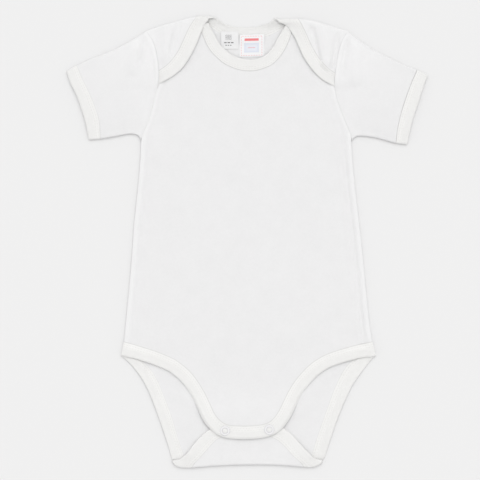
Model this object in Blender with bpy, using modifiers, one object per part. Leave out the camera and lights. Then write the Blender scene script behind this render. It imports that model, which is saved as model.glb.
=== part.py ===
"""Baby bodysuit with short sleeves, lap shoulders and a press-stud crotch, laid flat with its front up.

Every piece that is cut and sewn on is one closed wall of cloth. A wall starts as a flat slab of squares,
a column count wide and a row count long, and each of its points is then put where the cut, the folds and
the layers below want it. The back panel turns over at the shoulders and at the crotch, and its bindings
turn with it. The layers lie on each other with a small gap, and the lowest lies flat on the surface.

Lengths are in millimetres, and MM turns them into metres where a mesh is made. The garment is seen from
above with its neck up: x runs to the right, y towards the neck, and z up from the surface. A side is -1
for the left and 1 for the right as seen so.
"""

import bisect
import math

import bmesh
import bpy
from mathutils import Vector

MM = 0.001
LEFT, RIGHT = -1, 1

# ---------------------------------------------------------------- cloth and layers
FABRIC = 1.0            # wall of the body and sleeve cloth
BINDING = 1.8           # the folded band along the neck and leg edges
CUFF = 1.5              # the folded band round a sleeve
GAP = 0.3               # between two pieces at a seam, and between two layers
EDGE_ROUND = 0.45       # how much thinner a band is along its two edges
LABEL = 1.0             # woven label with its turned-in edge
SHOULDER_END_GAP = 1.0  # from the front's shoulder ends to the start of the shoulder's turn

FRONT_FLOOR = FABRIC + GAP          # underside of the front where it lies on the back
NECK_RISE = 1.0                     # the front lifts towards the neckline by this
LAP_RISE = 1.1                      # a flap's binding lifts over the front neck binding by this
STUD_HEIGHT = 1.0                   # closed socket and stud between the two crotch bands
CROTCH_RISE = BINDING + STUD_HEIGHT + 2 * GAP
HIP_RISE = BINDING - FABRIC         # the front leg binding lifts over the back one at the hip
TAB_FLOOR = FABRIC + 2 * GAP        # underside of the turned-up tab
TAB_RISE = BINDING - FABRIC + 0.1   # the tab's binding lifts over its own floor stretch by this
BAND_STEP = BINDING - FABRIC        # panel and binding share one top where both turn over
TORSO_CROWN = 1.4                   # soft rise of the front between its side seams
SLEEVE_CROWN = 1.5                  # the same across a sleeve

# ---------------------------------------------------------------- the cut, as it lies
# Side seams and armholes, from the hip up to the shoulder tip: y, left x, right x.
BODY_EDGE = (
    (-99.5, -122.8, 125.0),
    (-78.0, -120.8, 121.8),
    (-48.0, -117.9, 118.8),
    (-18.0, -115.3, 115.9),
    (12.0, -113.2, 112.9),
    (42.0, -110.3, 109.3),
    (62.0, -108.2, 107.2),
    (82.0, -106.6, 105.2),
    (98.0, -106.0, 104.3),
    (106.0, -104.9, 103.9),
    (118.0, -99.5, 99.0),
    (131.0, -95.6, 93.9),
    (143.0, -92.9, 89.9),
    (156.0, -89.4, 87.7),
    (170.0, -88.6, 88.4),
    (188.0, -90.6, 91.1),
    (201.0, -94.4, 94.9),
    (210.8, -100.1, 100.2),
)
# Shoulder line, where the back turns over to the front: distance from the middle, left y, right y.
SHOULDER = (
    (26.0, 224.4, 224.2),
    (33.0, 224.9, 222.8),
    (40.0, 225.7, 222.9),
    (50.0, 225.4, 222.9),
    (63.0, 222.2, 221.6),
    (75.0, 219.0, 218.3),
    (87.0, 215.6, 214.8),
    (100.2, 211.0, 210.8),
)
# Where the seam and the free edge of the back neck binding turn over: x on the floor and on the flap.
LAP_SEAM_X = {LEFT: (-48.5, -52.5), RIGHT: (49.0, 53.0)}
LAP_EDGE_X = {LEFT: (-29.0, -40.0), RIGHT: (28.5, 39.5)}
NECK_CORNER = {LEFT: (-43.0, 217.0), RIGHT: (42.0, 214.5)}

# Back neckline between the two shoulder crossings, seam and then free edge: x, y.
BACK_NECK_SEAM = ((-40.0, 219.5), (-32.5, 215.5), (-26.7, 211.0), (-17.0, 206.3), (3.0, 204.0),
                  (16.0, 204.9), (23.6, 208.2), (33.8, 213.3), (42.5, 217.0))
BACK_NECK_EDGE = ((-22.3, 217.8), (-14.6, 215.2), (-5.7, 214.3), (3.0, 214.3), (13.4, 215.9), (23.0, 219.2))
# Edges of the two shoulder flaps from the armhole to the shoulder line, seam and then free edge: x, y.
FLAP_SEAM = {
    LEFT: ((-88.6, 170.6), (-78.4, 178.2), (-69.4, 189.7), (-64.3, 199.9), (-58.0, 213.5)),
    RIGHT: ((88.4, 168.3), (79.7, 174.4), (72.1, 183.3), (64.4, 196.1), (58.0, 210.1)),
}
FLAP_EDGE = {
    LEFT: ((-89.2, 157.2), (-74.6, 165.5), (-64.3, 174.4), (-56.7, 185.9), (-50.3, 198.6), (-45.2, 211.0),
           (-39.5, 220.5)),
    RIGHT: ((87.8, 155.3), (74.6, 162.9), (65.7, 171.8), (56.8, 184.6), (50.4, 196.1), (44.0, 208.3),
            (38.5, 217.5)),
}
# Front neckline seam, ends under the flaps: x, y. Its binding reaches FRONT_NECK_WIDTH into the opening.
FRONT_NECK_SEAM = ((-47.8, 217.0), (-44.6, 210.1), (-40.1, 197.4), (-32.5, 187.2), (-22.3, 178.2), (-8.2, 172.1),
                   (3.0, 170.8), (12.7, 172.1), (25.4, 177.6), (35.7, 188.4), (42.0, 199.9), (44.8, 208.5),
                   (46.8, 214.6))
FRONT_NECK_WIDTH = 11.4
# Front leg seams from the crotch tab up to the hips, and the tab's bottom between them: x, y.
FRONT_LEG = {
    LEFT: ((-41.3, -151.2), (-48.0, -139.7), (-56.6, -128.7), (-66.2, -121.0), (-73.8, -116.2),
           (-91.1, -109.2), (-108.3, -103.8), (-122.8, -99.5)),
    RIGHT: ((40.8, -150.2), (46.6, -140.6), (54.2, -131.1), (62.9, -122.4), (72.4, -115.8),
            (83.0, -110.8), (105.9, -103.8), (125.0, -99.5)),
}
FRONT_TAB = ((-41.3, -151.2), (-36.5, -160.7), (-30.8, -172.2), (-25.0, -178.9), (-19.3, -182.3),
             (-9.7, -183.4), (2.0, -183.5), (14.1, -182.3), (20.8, -180.3), (25.5, -177.0),
             (31.3, -169.3), (36.1, -159.8), (40.8, -150.2))
FRONT_LEG_WIDTH = 13.5
# Back leg edges from the bottom fold up to the hip: y of the seam, its x, then x and y of the free edge.
BACK_LEG = {
    LEFT: ((-213.4, -62.8, -75.6, -217.0), (-198.0, -68.1, -80.3, -201.2), (-172.2, -75.8, -88.6, -176.8),
           (-151.2, -83.4, -96.0, -157.0), (-140.6, -87.2, -99.8, -148.0), (-131.1, -93.0, -104.8, -138.8),
           (-125.3, -98.7, -108.8, -133.0), (-120.1, -105.9, -114.5, -126.3), (-112.0, -114.5, -120.5, -120.4),
           (-99.5, -122.8, -126.3, -113.6)),
    RIGHT: ((-213.4, 64.3, 77.4, -214.6), (-196.1, 69.6, 82.6, -197.8), (-174.1, 77.2, 90.0, -176.0),
            (-150.2, 85.8, 98.4, -155.7), (-138.7, 90.6, 102.8, -145.8), (-127.2, 96.3, 108.5, -134.7),
            (-119.6, 102.6, 113.8, -127.5), (-111.0, 113.0, 121.5, -119.5), (-99.5, 125.0, 128.4, -113.7)),
}
HIP_CORNER = {LEFT: (-126.3, -113.6), RIGHT: (128.4, -113.7)}
# Bottom fold, where the back turns up to the front: x, y.
BOTTOM_FOLD = ((-74.0, -221.2), (-68.0, -225.0), (-58.0, -225.7), (-32.0, -223.4), (0.0, -222.6),
               (32.0, -223.0), (58.0, -225.2), (67.0, -225.2), (74.6, -221.0))
# Where the back leg seam and free edge cross that fold, on the floor layer and on the turned-up one.
FOLD_SEAM_X = {LEFT: (-57.4, -53.7), RIGHT: (59.2, 55.2)}
FOLD_EDGE_X = {LEFT: (-73.2, -71.6), RIGHT: (74.2, 73.2)}
# Turned-up tab: side seams from the fold up, the end seam between them, and the free edge all round.
TAB_SIDE = {
    LEFT: ((-52.6, -221.4), (-43.2, -211.4), (-36.5, -203.8), (-30.8, -198.0)),
    RIGHT: ((54.2, -221.0), (44.7, -212.4), (38.0, -204.7), (31.3, -198.6)),
}
TAB_END = ((-30.8, -198.0), (-24.0, -194.3), (-12.0, -193.0), (0.0, -193.0), (12.0, -193.1), (23.0, -194.6),
           (31.3, -198.6))
TAB_EDGE = ((-70.0, -220.2), (-60.4, -213.2), (-52.8, -203.8), (-45.1, -195.2), (-36.5, -187.5),
            (-28.0, -182.9), (-15.0, -181.0), (0.0, -180.8), (15.0, -181.0), (28.0, -182.0),
            (36.1, -185.6), (43.7, -191.3), (51.4, -200.0), (59.0, -208.6), (65.7, -215.3), (71.6, -219.4))

# Sleeves: top fold and underarm line from the armhole to the cuff seam, then the cuff seam and the
# cuff's free edge from top to bottom: x, y.
SLEEVE_TOP = {
    LEFT: ((-99.8, 211.0), (-107.7, 206.2), (-118.0, 199.9), (-137.0, 190.3), (-157.5, 182.5), (-170.9, 176.3)),
    RIGHT: ((99.9, 210.8), (112.9, 201.2), (125.7, 192.3), (143.5, 183.3), (158.8, 176.3), (169.7, 172.0)),
}
SLEEVE_UNDER = {
    LEFT: ((-105.8, 103.6), (-107.6, 106.6), (-111.0, 108.8), (-118.0, 109.0), (-130.0, 106.9), (-146.2, 104.0)),
    RIGHT: ((104.6, 102.6), (107.8, 105.6), (114.2, 107.1), (126.9, 105.5), (137.1, 103.0), (148.5, 99.6)),
}
CUFF_SEAM = {
    LEFT: ((-170.9, 176.3), (-166.4, 165.5), (-158.7, 148.9), (-152.6, 134.0), (-148.5, 121.0), (-146.2, 104.0)),
    RIGHT: ((169.7, 172.0), (163.9, 159.1), (157.5, 141.2), (153.1, 124.7), (149.6, 108.5), (148.5, 99.6)),
}
CUFF_EDGE = {
    LEFT: ((-181.0, 170.8), (-177.9, 160.4), (-171.5, 147.0), (-166.4, 132.3), (-162.4, 119.0), (-158.3, 102.9)),
    RIGHT: ((181.0, 166.8), (176.7, 154.0), (171.6, 137.4), (166.5, 120.8), (162.6, 105.5), (160.4, 98.0)),
}

# Largest soft folds, as lines on the cloth: x and y of both ends, half width, height (below 0 a trough).
FLAP_FOLDS = (
    (-81.0, 214.0, -84.0, 182.0, 8.0, 0.9),
    (-60.0, 222.0, -70.0, 197.0, 6.0, 0.5),
    (78.0, 213.0, 80.0, 180.0, 8.0, 0.9),
    (59.0, 220.0, 66.0, 200.0, 6.0, 0.5),
)
SLEEVE_FOLDS = (
    (-103.0, 204.0, -104.0, 172.0, 7.0, -0.9),
    (-115.0, 196.0, -113.0, 165.0, 9.0, 0.5),
    (106.0, 200.0, 98.0, 160.0, 7.0, -0.9),
    (117.0, 192.0, 112.0, 160.0, 9.0, 0.5),
    (-114.0, 118.0, -109.0, 110.0, 4.0, 0.4),
    (116.0, 112.0, 110.0, 108.0, 4.0, 0.4),
)

# ---------------------------------------------------------------- studs and labels
STUD_PLACES = {LEFT: (-22.0, -188.2), RIGHT: (22.2, -187.2)}
CAP_RADIUS = 4.9
CAP_HEIGHT = 0.8
STUD_RADIUS = 4.2
TURN_STEPS = 20
# Labels: left x, right x, bottom y, top y.
LABEL_SMALL = (-25.6, -9.6, 192.6, 210.4)
LABEL_SQUARE = (-7.2, 17.0, 186.0, 208.6)

# ---------------------------------------------------------------- how finely the walls are divided
COLUMNS = 20                        # squares across a panel
EDGE_STEPS = (0.0, 3.0, 6.5, 12.0)  # the outermost columns' distances from a panel's edge
LAP_COLUMN = 6                      # column of the back panel where the neck binding crosses a shoulder
NECK_COLUMN = 4                     # column of the front panel where its neckline starts
FOLD_STEPS = 4
LEG_ROWS = (-219.5, -211.0, -202.0, -192.0, -181.0, -170.0, -160.0, -151.0, -143.0, -136.0, -130.0,
            -125.0, -119.5, -113.5, -107.0)
# Torso rows: y at the side seams, and y of the front between them, where the leg seam's corner lifts it.
TORSO_ROWS = ((-99.5, -89.9), (-86.0, -79.5), (-69.0, -66.0), (-47.0, -46.0), (-22.0, -22.0),
              (4.0, 4.0), (30.0, 30.0), (54.0, 54.0), (76.0, 76.0), (93.0, 93.0))
ARM_ROWS = (106.0, 116.0, 126.0, 136.5, 147.0, 157.0, 168.0, 179.0, 190.0, 201.0)
FLAP_SIDE_ROWS = (201.0, 190.0, 179.0)  # rows of a flap where they leave the armhole
FLAP_SPLIT = 0.52                   # how far along a flap's seam its last row reaches
TAB_ROWS = 5
# Rows of the front below the hips, as shares of its leg seams from the tab's bottom up to the hip.
FRONT_LEG_ROWS = (0.0, 0.09, 0.18, 0.27, 0.36, 0.45, 0.54, 0.64, 0.75, 0.87)
BAND_SHARES = (0.0, 0.16, 0.5, 0.84, 1.0)
SLEEVE_ROWS = 7
CUFF_ROWS = 2
TUBE_FOLD_STEPS = 3

# ---------------------------------------------------------------- finishes: colour, roughness, metallic
COTTON = ("cotton_jersey", (0.86, 0.855, 0.85, 1.0), 0.95, 0.0)
RIB = ("cotton_rib", (0.87, 0.865, 0.845, 1.0), 0.95, 0.0)
STUD_ENAMEL = ("stud_enamel", (0.80, 0.79, 0.84, 1.0), 0.35, 0.0)
SATIN = ("label_satin", (0.88, 0.88, 0.89, 1.0), 0.55, 0.0)


# ---------------------------------------------------------------- curves and soft steps
def soft(t):
    """Ease from 0 to 1 as t goes from 0 to 1."""
    t = min(max(t, 0.0), 1.0)
    return t * t * (3 - 2 * t)


def mix(a, b, t):
    return a + (b - a) * t


def mix_points(a, b, t):
    return [mix(p, q, t) for p, q in zip(a, b)]


def through(rows):
    """Smooth curves through a table whose first column rises: gives the other columns at any station."""
    stations = [row[0] for row in rows]
    last = len(rows) - 1

    def slope(i, column):
        before, after = rows[max(i - 1, 0)], rows[min(i + 1, last)]
        return (after[column] - before[column]) / (after[0] - before[0])

    def at(station):
        station = min(max(station, stations[0]), stations[-1])
        i = min(bisect.bisect_right(stations, station), last) - 1
        span = rows[i + 1][0] - rows[i][0]
        t = (station - rows[i][0]) / span
        values = []
        for column in range(1, len(rows[i])):
            bow = slope(i, column) * t * (1 - t) ** 2 - slope(i + 1, column) * t * t * (1 - t)
            values.append(mix(rows[i][column], rows[i + 1][column], soft(t)) + span * bow)
        return values

    return at


def route(points):
    """Smooth curve through points in plan: 0 gives the first point and 1 the last, at an even pace."""
    rows = [(0.0, *points[0])]
    for start, end in zip(points, points[1:]):
        rows.append((rows[-1][0] + math.dist(start, end), *end))
    curve = through(rows)
    return lambda fraction: curve(fraction * rows[-1][0])


def swell(point, centre, reach, full):
    """1 within full of the centre, falling softly to 0 at reach."""
    return soft((reach - math.dist(point, centre)) / (reach - full))


def fold_height(x, y, folds):
    """Sum of the soft folds at a point: each is highest along its line and fades out at its half width."""
    height = 0.0
    for x0, y0, x1, y1, half_width, rise in folds:
        along = Vector((x1 - x0, y1 - y0))
        offset = Vector((x - x0, y - y0))
        t = min(max(offset.dot(along) / along.length_squared, 0.0), 1.0)
        height += rise * soft(1 - (offset - along * t).length / half_width)
    return height


body_edge = through(BODY_EDGE)
shoulder_line = through(SHOULDER)
bottom_fold = through(BOTTOM_FOLD)
back_leg = {side: through(BACK_LEG[side]) for side in (LEFT, RIGHT)}
BOTTOM_CORNER = {side: (FOLD_EDGE_X[side][0], bottom_fold(FOLD_EDGE_X[side][0])[0]) for side in (LEFT, RIGHT)}


def side_of(x):
    return LEFT if x < 0 else RIGHT


def shoulder_y(x):
    return shoulder_line(abs(x))[0 if x < 0 else 1]


# ---------------------------------------------------------------- heights of the layers
def front_under(x, y):
    """Underside of the front: on the back, lifted at the neckline and over the studs, crowned between."""
    left, right = body_edge(max(y, BODY_EDGE[0][0]))
    inset = min(x - left, right - x)
    crown = soft(inset / 50) * soft((y + 160) / 90) * soft((175 - y) / 70)
    neck = swell((x, y), (0.0, 212.0), 85.0, 50.0)
    crotch = soft((-148 - y) / 32)
    return FRONT_FLOOR + TORSO_CROWN * crown + NECK_RISE * neck + CROTCH_RISE * crotch


def front_top(x, y):
    """Outer side of the front: rolled down at the side seam, a ridge inside it and a shallow trough."""
    left, right = body_edge(max(y, BODY_EDGE[0][0]))
    inset = min(x - left, right - x)
    below_armhole = soft((112 - y) / 12)
    ridge = 0.45 * math.exp(-((inset - 3.2) / 2.2) ** 2) - 0.3 * math.exp(-((inset - 10.0) / 4.0) ** 2)
    roll = -0.4 * soft(1 - inset / 2.5)
    return front_under(x, y) + FABRIC + (ridge + roll) * below_armhole


def front_neck_under(x, y):
    return front_under(x, y) + GAP


def front_leg_under(x, y):
    """Underside of the front leg binding: as the front, lifted over the back leg binding at the hips."""
    return front_under(x, y) + HIP_RISE * swell((x, y), HIP_CORNER[side_of(x)], 56.0, 36.0)


def flap_under(x, y):
    """Underside of a shoulder flap: on the front, lifted over the front neck binding, with its folds."""
    lap = (LAP_RISE + BAND_STEP) * swell((x, y), NECK_CORNER[side_of(x)], 42.0, 15.0)
    return front_under(x, y) + FABRIC + GAP + lap + fold_height(x, y, FLAP_FOLDS)


def flap_band_under(x, y):
    """Underside of the binding along a flap, which is too stiff to follow the flap's folds."""
    return front_under(x, y) + FABRIC + GAP + LAP_RISE * swell((x, y), NECK_CORNER[side_of(x)], 42.0, 15.0)


def tab_lift(x, y):
    """1 at the bottom corners, where the tab lies on its binding's floor stretch, and 0 away from them."""
    return swell((x, y), BOTTOM_CORNER[side_of(x)], 46.0, 25.0)


def tab_under(x, y):
    return TAB_FLOOR + (TAB_RISE + BAND_STEP - GAP) * tab_lift(x, y)


def tab_band_under(x, y):
    return FABRIC + GAP + TAB_RISE * tab_lift(x, y)


def sleeve_under(side, along, down, x, y):
    """Underside of a sleeve's upper wall; along runs from armhole to cuff and down from top to underarm."""
    at_armhole = FRONT_FLOOR + (FABRIC + GAP) * soft((y - 145) / 25)
    at_cuff = CUFF + GAP
    crown = SLEEVE_CROWN * soft(4 * down * (1 - down)) * (1 - 0.75 * soft(along)) * soft(along * 6 + 0.15)
    folds = fold_height(x, y, SLEEVE_FOLDS) * soft(5 * down) * soft(5 * (1 - down))
    return max(mix(at_armhole, at_cuff, soft(along)) + crown + folds, FABRIC + GAP)


# ---------------------------------------------------------------- making solids
def make_collection(name):
    collection = bpy.data.collections.new(name)
    bpy.context.scene.collection.children.link(collection)
    return collection


def finish(name, colour, roughness, metallic):
    """A Principled material, made once for each finish."""
    material = bpy.data.materials.get(name)
    if material is None:
        material = bpy.data.materials.new(name)
        material.use_nodes = True
        shader = material.node_tree.nodes["Principled BSDF"]
        shader.inputs["Base Color"].default_value = colour
        shader.inputs["Roughness"].default_value = roughness
        shader.inputs["Metallic"].default_value = metallic
    return material


def add_object(name, mesh, look):
    piece = bpy.data.objects.new(name, mesh)
    mesh.materials.append(finish(*look))
    garment.objects.link(piece)
    return piece


def wall(name, columns, rows, place, look, closed=False, cut_away=None):
    """A closed wall of cloth: a slab of squares whose points go where place(column, row, inner) says.

    inner is False on the cloth's right side. A closed wall's last column meets its first, as on a tube.
    cut_away(column, row) drops the squares that the cut leaves out.
    """
    work = bmesh.new()
    bmesh.ops.create_grid(work, x_segments=columns, y_segments=rows, size=0.5)
    bmesh.ops.translate(work, vec=(0.5, 0.5, 0.0), verts=work.verts)
    bmesh.ops.scale(work, vec=(columns, rows, 1.0), verts=work.verts)
    if cut_away:
        spare = [face for face in work.faces if cut_away(*face.calc_center_median().xy)]
        bmesh.ops.delete(work, geom=spare, context='FACES')
    bmesh.ops.solidify(work, geom=work.faces[:], thickness=1.0)
    if closed:
        ends = [face for face in work.faces if face.calc_center_median().x in (0.0, float(columns))]
        bmesh.ops.delete(work, geom=ends, context='FACES')
    for vert in work.verts:
        vert.co = Vector(place(round(vert.co.x), round(vert.co.y), vert.co.z < -0.5)) * MM
    bmesh.ops.remove_doubles(work, verts=work.verts, dist=0.01 * MM)
    bmesh.ops.recalc_face_normals(work, faces=work.faces)
    mesh = bpy.data.meshes.new(name)
    work.to_mesh(mesh)
    work.free()
    mesh.shade_smooth()
    mesh.set_sharp_from_angle(angle=math.radians(50))
    return add_object(name, mesh, look)


def turned(name, outline, centre, look):
    """A round solid: a (radius, height) outline from the top of the axis to its foot, turned about it."""
    mesh = bpy.data.meshes.new(name)
    points = [(radius * MM, 0.0, height * MM) for radius, height in outline]
    mesh.from_pydata(points, [(i, i + 1) for i in range(len(points) - 1)], [])
    piece = add_object(name, mesh, look)
    piece.location = Vector((centre[0], centre[1], 0.0)) * MM
    turn = piece.modifiers.new("Turn", 'SCREW')
    turn.axis = 'Z'
    turn.steps = TURN_STEPS
    turn.render_steps = TURN_STEPS
    turn.use_merge_vertices = True
    turn.merge_threshold = 0.01 * MM
    turn.use_smooth_shade = True
    return piece


def turned_over(x, edge_y, outward, angle, top, thickness, inner, thin=0.0):
    """Point of a wall that turns over at edge_y: angle 0 on the surface, pi on the layer that reaches top.

    outward is 1 where the turn faces the neck and -1 where it faces the crotch. thin takes the wall's
    upper side down, as along a band's edges.
    """
    outer = top / 2
    turn = angle / math.pi
    radius = outer - thickness + thin * (1 - turn) if inner else outer - thin * turn
    return x, edge_y + outward * (radius * math.sin(angle) - outer), outer - radius * math.cos(angle)


def layer_point(x, y, under, thickness, inner, top=None, upper=True, thin=0.0):
    """Point of a wall that lies on a layer: upper walls have their right side up, floor walls down."""
    if not upper:
        return x, y, thickness - thin if inner else 0.0
    return x, y, under if inner else (under + thickness - thin if top is None else top)


# ---------------------------------------------------------------- where columns and rows lie in plan
def step_share(steps, width, count):
    """How far along a stretch a step lies, with EDGE_STEPS at its start and even steps after them."""
    last = len(EDGE_STEPS) - 1
    if steps <= last:
        return EDGE_STEPS[steps] / width
    return mix(EDGE_STEPS[last] / width, 1.0, (steps - last) / (count - last))


def share(column, width):
    """How far across a panel of that width a column lies: close by both edges, even between them."""
    near = min(column, COLUMNS - column)
    part = step_share(near, width / 2, COLUMNS / 2) / 2
    return part if column == near else 1 - part


def across(column, left, right, left_in=(1.0, 0.0), right_in=(-1.0, 0.0)):
    """Point of a row: the outer columns step inwards from its ends, and the rest lie evenly between."""
    last = len(EDGE_STEPS) - 1
    near = min(column, COLUMNS - column)
    ends = []
    for point, inwards in ((left, left_in), (right, right_in)):
        ends.append([p + EDGE_STEPS[min(near, last)] * d for p, d in zip(point, inwards)])
    return mix_points(*ends, min(max((column - last) / (COLUMNS - 2 * last), 0.0), 1.0))


def patch(near, far, top, bottom):
    """A four-sided patch: along runs from the near line to the far one, down from the top to the bottom."""
    def at(along, down):
        point = []
        for axis in (0, 1):
            between_ends = mix(near(down)[axis], far(down)[axis], along)
            between_sides = mix(top(along)[axis], bottom(along)[axis], down)
            corners = mix(mix(near(0.0)[axis], near(1.0)[axis], down), mix(far(0.0)[axis], far(1.0)[axis], down), along)
            point.append(between_ends + between_sides - corners)
        return point
    return at


def which_side(column):
    return LEFT if column <= COLUMNS / 2 else RIGHT


def body_side(side, y):
    """Point of the side seam or armhole on one side."""
    return body_edge(y)[0 if side == LEFT else 1], y


def body_row(column, y, middle_y=None):
    """Point on a row between the side seams or armholes; middle_y lifts all but its ends."""
    slope = ((middle_y or y) - y) / EDGE_STEPS[-1]
    return across(column, body_side(LEFT, y), body_side(RIGHT, y), (1.0, slope), (-1.0, slope))


def arm_row(column, y, top):
    """Point on a row of the armhole stretch, whose rows bend until the last follows the panel's top."""
    first = ARM_ROWS[0]
    tip_y = top(0 if which_side(column) == LEFT else COLUMNS)[1]
    up = (y - first) / (tip_y - first)
    top_x, top_y = top(column)
    row_y = mix(first, top_y, up)
    return body_row(column, row_y)[0] + up * up * (top_x - body_row(column, top_y)[0]), row_y


def flap_turn(x):
    """Half the height of the garment where a flap turns over."""
    return (flap_under(x, shoulder_y(x) - 3.0) + FABRIC) / 2


def shoulder_tip(side):
    """Where the armhole meets the shoulder's turn."""
    x = body_side(side, BODY_EDGE[-1][0])[0]
    return body_side(side, shoulder_y(x) - flap_turn(x))


def lap_x(column, turn):
    """x of a flap's column where it turns over; turn runs from 0 on the floor to 1 on the flap."""
    side, near = which_side(column), min(column, COLUMNS - column)
    tip, lap = shoulder_tip(side)[0], mix(*LAP_SEAM_X[side], turn)
    return mix(tip, lap, step_share(near, abs(lap - tip), LAP_COLUMN))


def lap_point(column, turn):
    """Point of a flap's column where the turn starts (0) or ends (1)."""
    x = lap_x(column, turn)
    return x, shoulder_y(x) - flap_turn(x)


def back_top(column):
    """Top row of the back's floor layer: where it starts to turn over, and the neckline between."""
    if min(column, COLUMNS - column) > LAP_COLUMN:
        return back_neck_seam((column - LAP_COLUMN) / (COLUMNS - 2 * LAP_COLUMN))
    return lap_point(column, 0.0)


def tab_point(column, up):
    """Point of the turned-up tab, from the bottom fold (up 0) to its end seam (up 1)."""
    point = across(column, tab_side[LEFT](up), tab_side[RIGHT](up))
    ends = tab_side[LEFT](1.0), tab_side[RIGHT](1.0)
    end = tab_end(share(column, math.dist(*ends)))
    return [p + up * (e - f) for p, e, f in zip(point, end, across(column, *ends))]


def front_top_row(column):
    """Top row of the front: the two shoulder ends, just short of the shoulder fold, and the neckline."""
    side, near = which_side(column), min(column, COLUMNS - column)
    if near >= NECK_COLUMN:
        return front_neck_seam((column - NECK_COLUMN) / (COLUMNS - 2 * NECK_COLUMN))
    tip = shoulder_tip(side)
    tip = body_side(side, tip[1] - SHOULDER_END_GAP)
    corner = front_neck_seam(0.0 if side == LEFT else 1.0)
    part = step_share(near, abs(corner[0] - tip[0]), NECK_COLUMN)
    x = mix(tip[0], corner[0], part)
    line = shoulder_y(x) - flap_turn(x)
    corner_gap = shoulder_y(corner[0]) - flap_turn(corner[0]) - corner[1]
    return x, tip[1] if near == 0 else line - mix(SHOULDER_END_GAP, corner_gap, soft(part))


def front_leg_point(column, up):
    """Point of the front below the hips, from the tab's bottom (up 0) to the hip row (up 1)."""
    def row(station):
        points, inwards = [], []
        for side in (LEFT, RIGHT):
            start, end = front_leg[side](station - 0.02), front_leg[side](station + 0.02)
            along = Vector((end[0] - start[0], end[1] - start[1])).normalized()
            points.append(front_leg[side](station))
            inwards.append((-side * along.y, side * along.x))
        return across(column, *points, *inwards)

    bottom = front_tab(share(column, math.dist(front_leg[LEFT](0.0), front_leg[RIGHT](0.0))))
    inwards = soft(2 * min(column, COLUMNS - column) / COLUMNS)
    sag = (1 - up) ** mix(7.0, 1.6, inwards)
    return [p + sag * (b - f) for p, b, f in zip(row(up), bottom, row(0.0))]


LAP_COLUMNS = {LEFT: LAP_COLUMN, RIGHT: COLUMNS - LAP_COLUMN}
flap_seam = {side: route([*FLAP_SEAM[side], lap_point(LAP_COLUMNS[side], 1.0)]) for side in (LEFT, RIGHT)}
flap_edge = {side: route(FLAP_EDGE[side]) for side in (LEFT, RIGHT)}
tab_side = {side: route(TAB_SIDE[side]) for side in (LEFT, RIGHT)}
tab_end = route(TAB_END)
tab_edge = route(TAB_EDGE)
front_leg = {side: route(FRONT_LEG[side]) for side in (LEFT, RIGHT)}
front_tab = route(FRONT_TAB)
front_neck_seam = route(FRONT_NECK_SEAM)
back_neck_seam = route([lap_point(LAP_COLUMN, 0.0), *BACK_NECK_SEAM, lap_point(COLUMNS - LAP_COLUMN, 0.0)])
back_neck_edge = route([(x, shoulder_y(x) - flap_turn(x)) if point is None else point
                        for x, point in ((LAP_EDGE_X[LEFT][0], None),
                                         *((0.0, point) for point in BACK_NECK_EDGE),
                                         (LAP_EDGE_X[RIGHT][0], None))])


def evenly(count, start, end):
    return [mix(start, end, i / count) for i in range(count + 1)]


# Rows of the back panel from the tab's end to the flaps' seams, each a stretch and a station on it.
BACK_ROWS = (
    [('tab', up) for up in evenly(TAB_ROWS, 1.0, 0.0)[:-1]]
    + [('bottom turn', angle) for angle in evenly(FOLD_STEPS, math.pi, 0.0)]
    + [('leg', y) for y in LEG_ROWS]
    + [('body', y) for y in TORSO_ROWS]
    + [('arm', y) for y in ARM_ROWS]
    + [('shoulder turn', angle) for angle in evenly(FOLD_STEPS, 0.0, math.pi)]
    + [('flap', y) for y in FLAP_SIDE_ROWS + (None,)]
)
FRONT_ROWS = (
    [('leg', up) for up in FRONT_LEG_ROWS]
    + [('body', y) for y in TORSO_ROWS]
    + [('arm', y) for y in ARM_ROWS]
    + [('top', 0.0)]
)
NECK_ROW = BACK_ROWS.index(('shoulder turn', 0.0))
HIP_ROW = BACK_ROWS.index(('body', TORSO_ROWS[0]))


def back_plan(column, row):
    """Where a column meets a row of the back, in plan; on a turn, y is that of the fold's outer edge."""
    stretch, station = BACK_ROWS[row]
    if stretch == 'tab':
        return tab_point(column, station)
    if stretch == 'bottom turn':
        seams = [mix(*FOLD_SEAM_X[side], station / math.pi) for side in (LEFT, RIGHT)]
        x = across(column, (seams[0], 0.0), (seams[1], 0.0))[0]
        return x, bottom_fold(x)[0]
    if stretch == 'leg':
        left, right = (back_leg_seam(side, station) for side in (LEFT, RIGHT))
        return across(column, (left, station), (right, station))
    if stretch == 'body':
        return body_row(column, station[0])
    if stretch == 'arm':
        return arm_row(column, station, back_top)
    if stretch == 'shoulder turn':
        x = lap_x(column, station / math.pi)
        return x, shoulder_y(x)
    return flap_point(column, station)


def flap_point(column, side_y):
    """Point of a flap's row that leaves the armhole at side_y, or of the last one, along the seam."""
    side = which_side(column)
    tip, lap = shoulder_tip(side), lap_point(LAP_COLUMNS[side], 1.0)
    foot_y = FLAP_SEAM[side][0][1]
    down = 1.0 if side_y is None else (tip[1] - side_y) / (tip[1] - foot_y)
    surface = patch(lambda v: body_side(side, mix(tip[1], foot_y, v)),
                    lambda v: flap_seam[side](mix(1.0, FLAP_SPLIT, v)),
                    lambda u: (mix(tip[0], lap[0], u), mix(tip[1], lap[1], u)),
                    lambda u: flap_seam[side](FLAP_SPLIT * u))
    along = (lap_x(column, 1.0) - tip[0]) / (lap[0] - tip[0])
    point = surface(along, down)
    bow = lap_point(column, 1.0)[1] - mix(tip[1], lap[1], along)
    return point[0], point[1] + bow * (1 - down)


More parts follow.
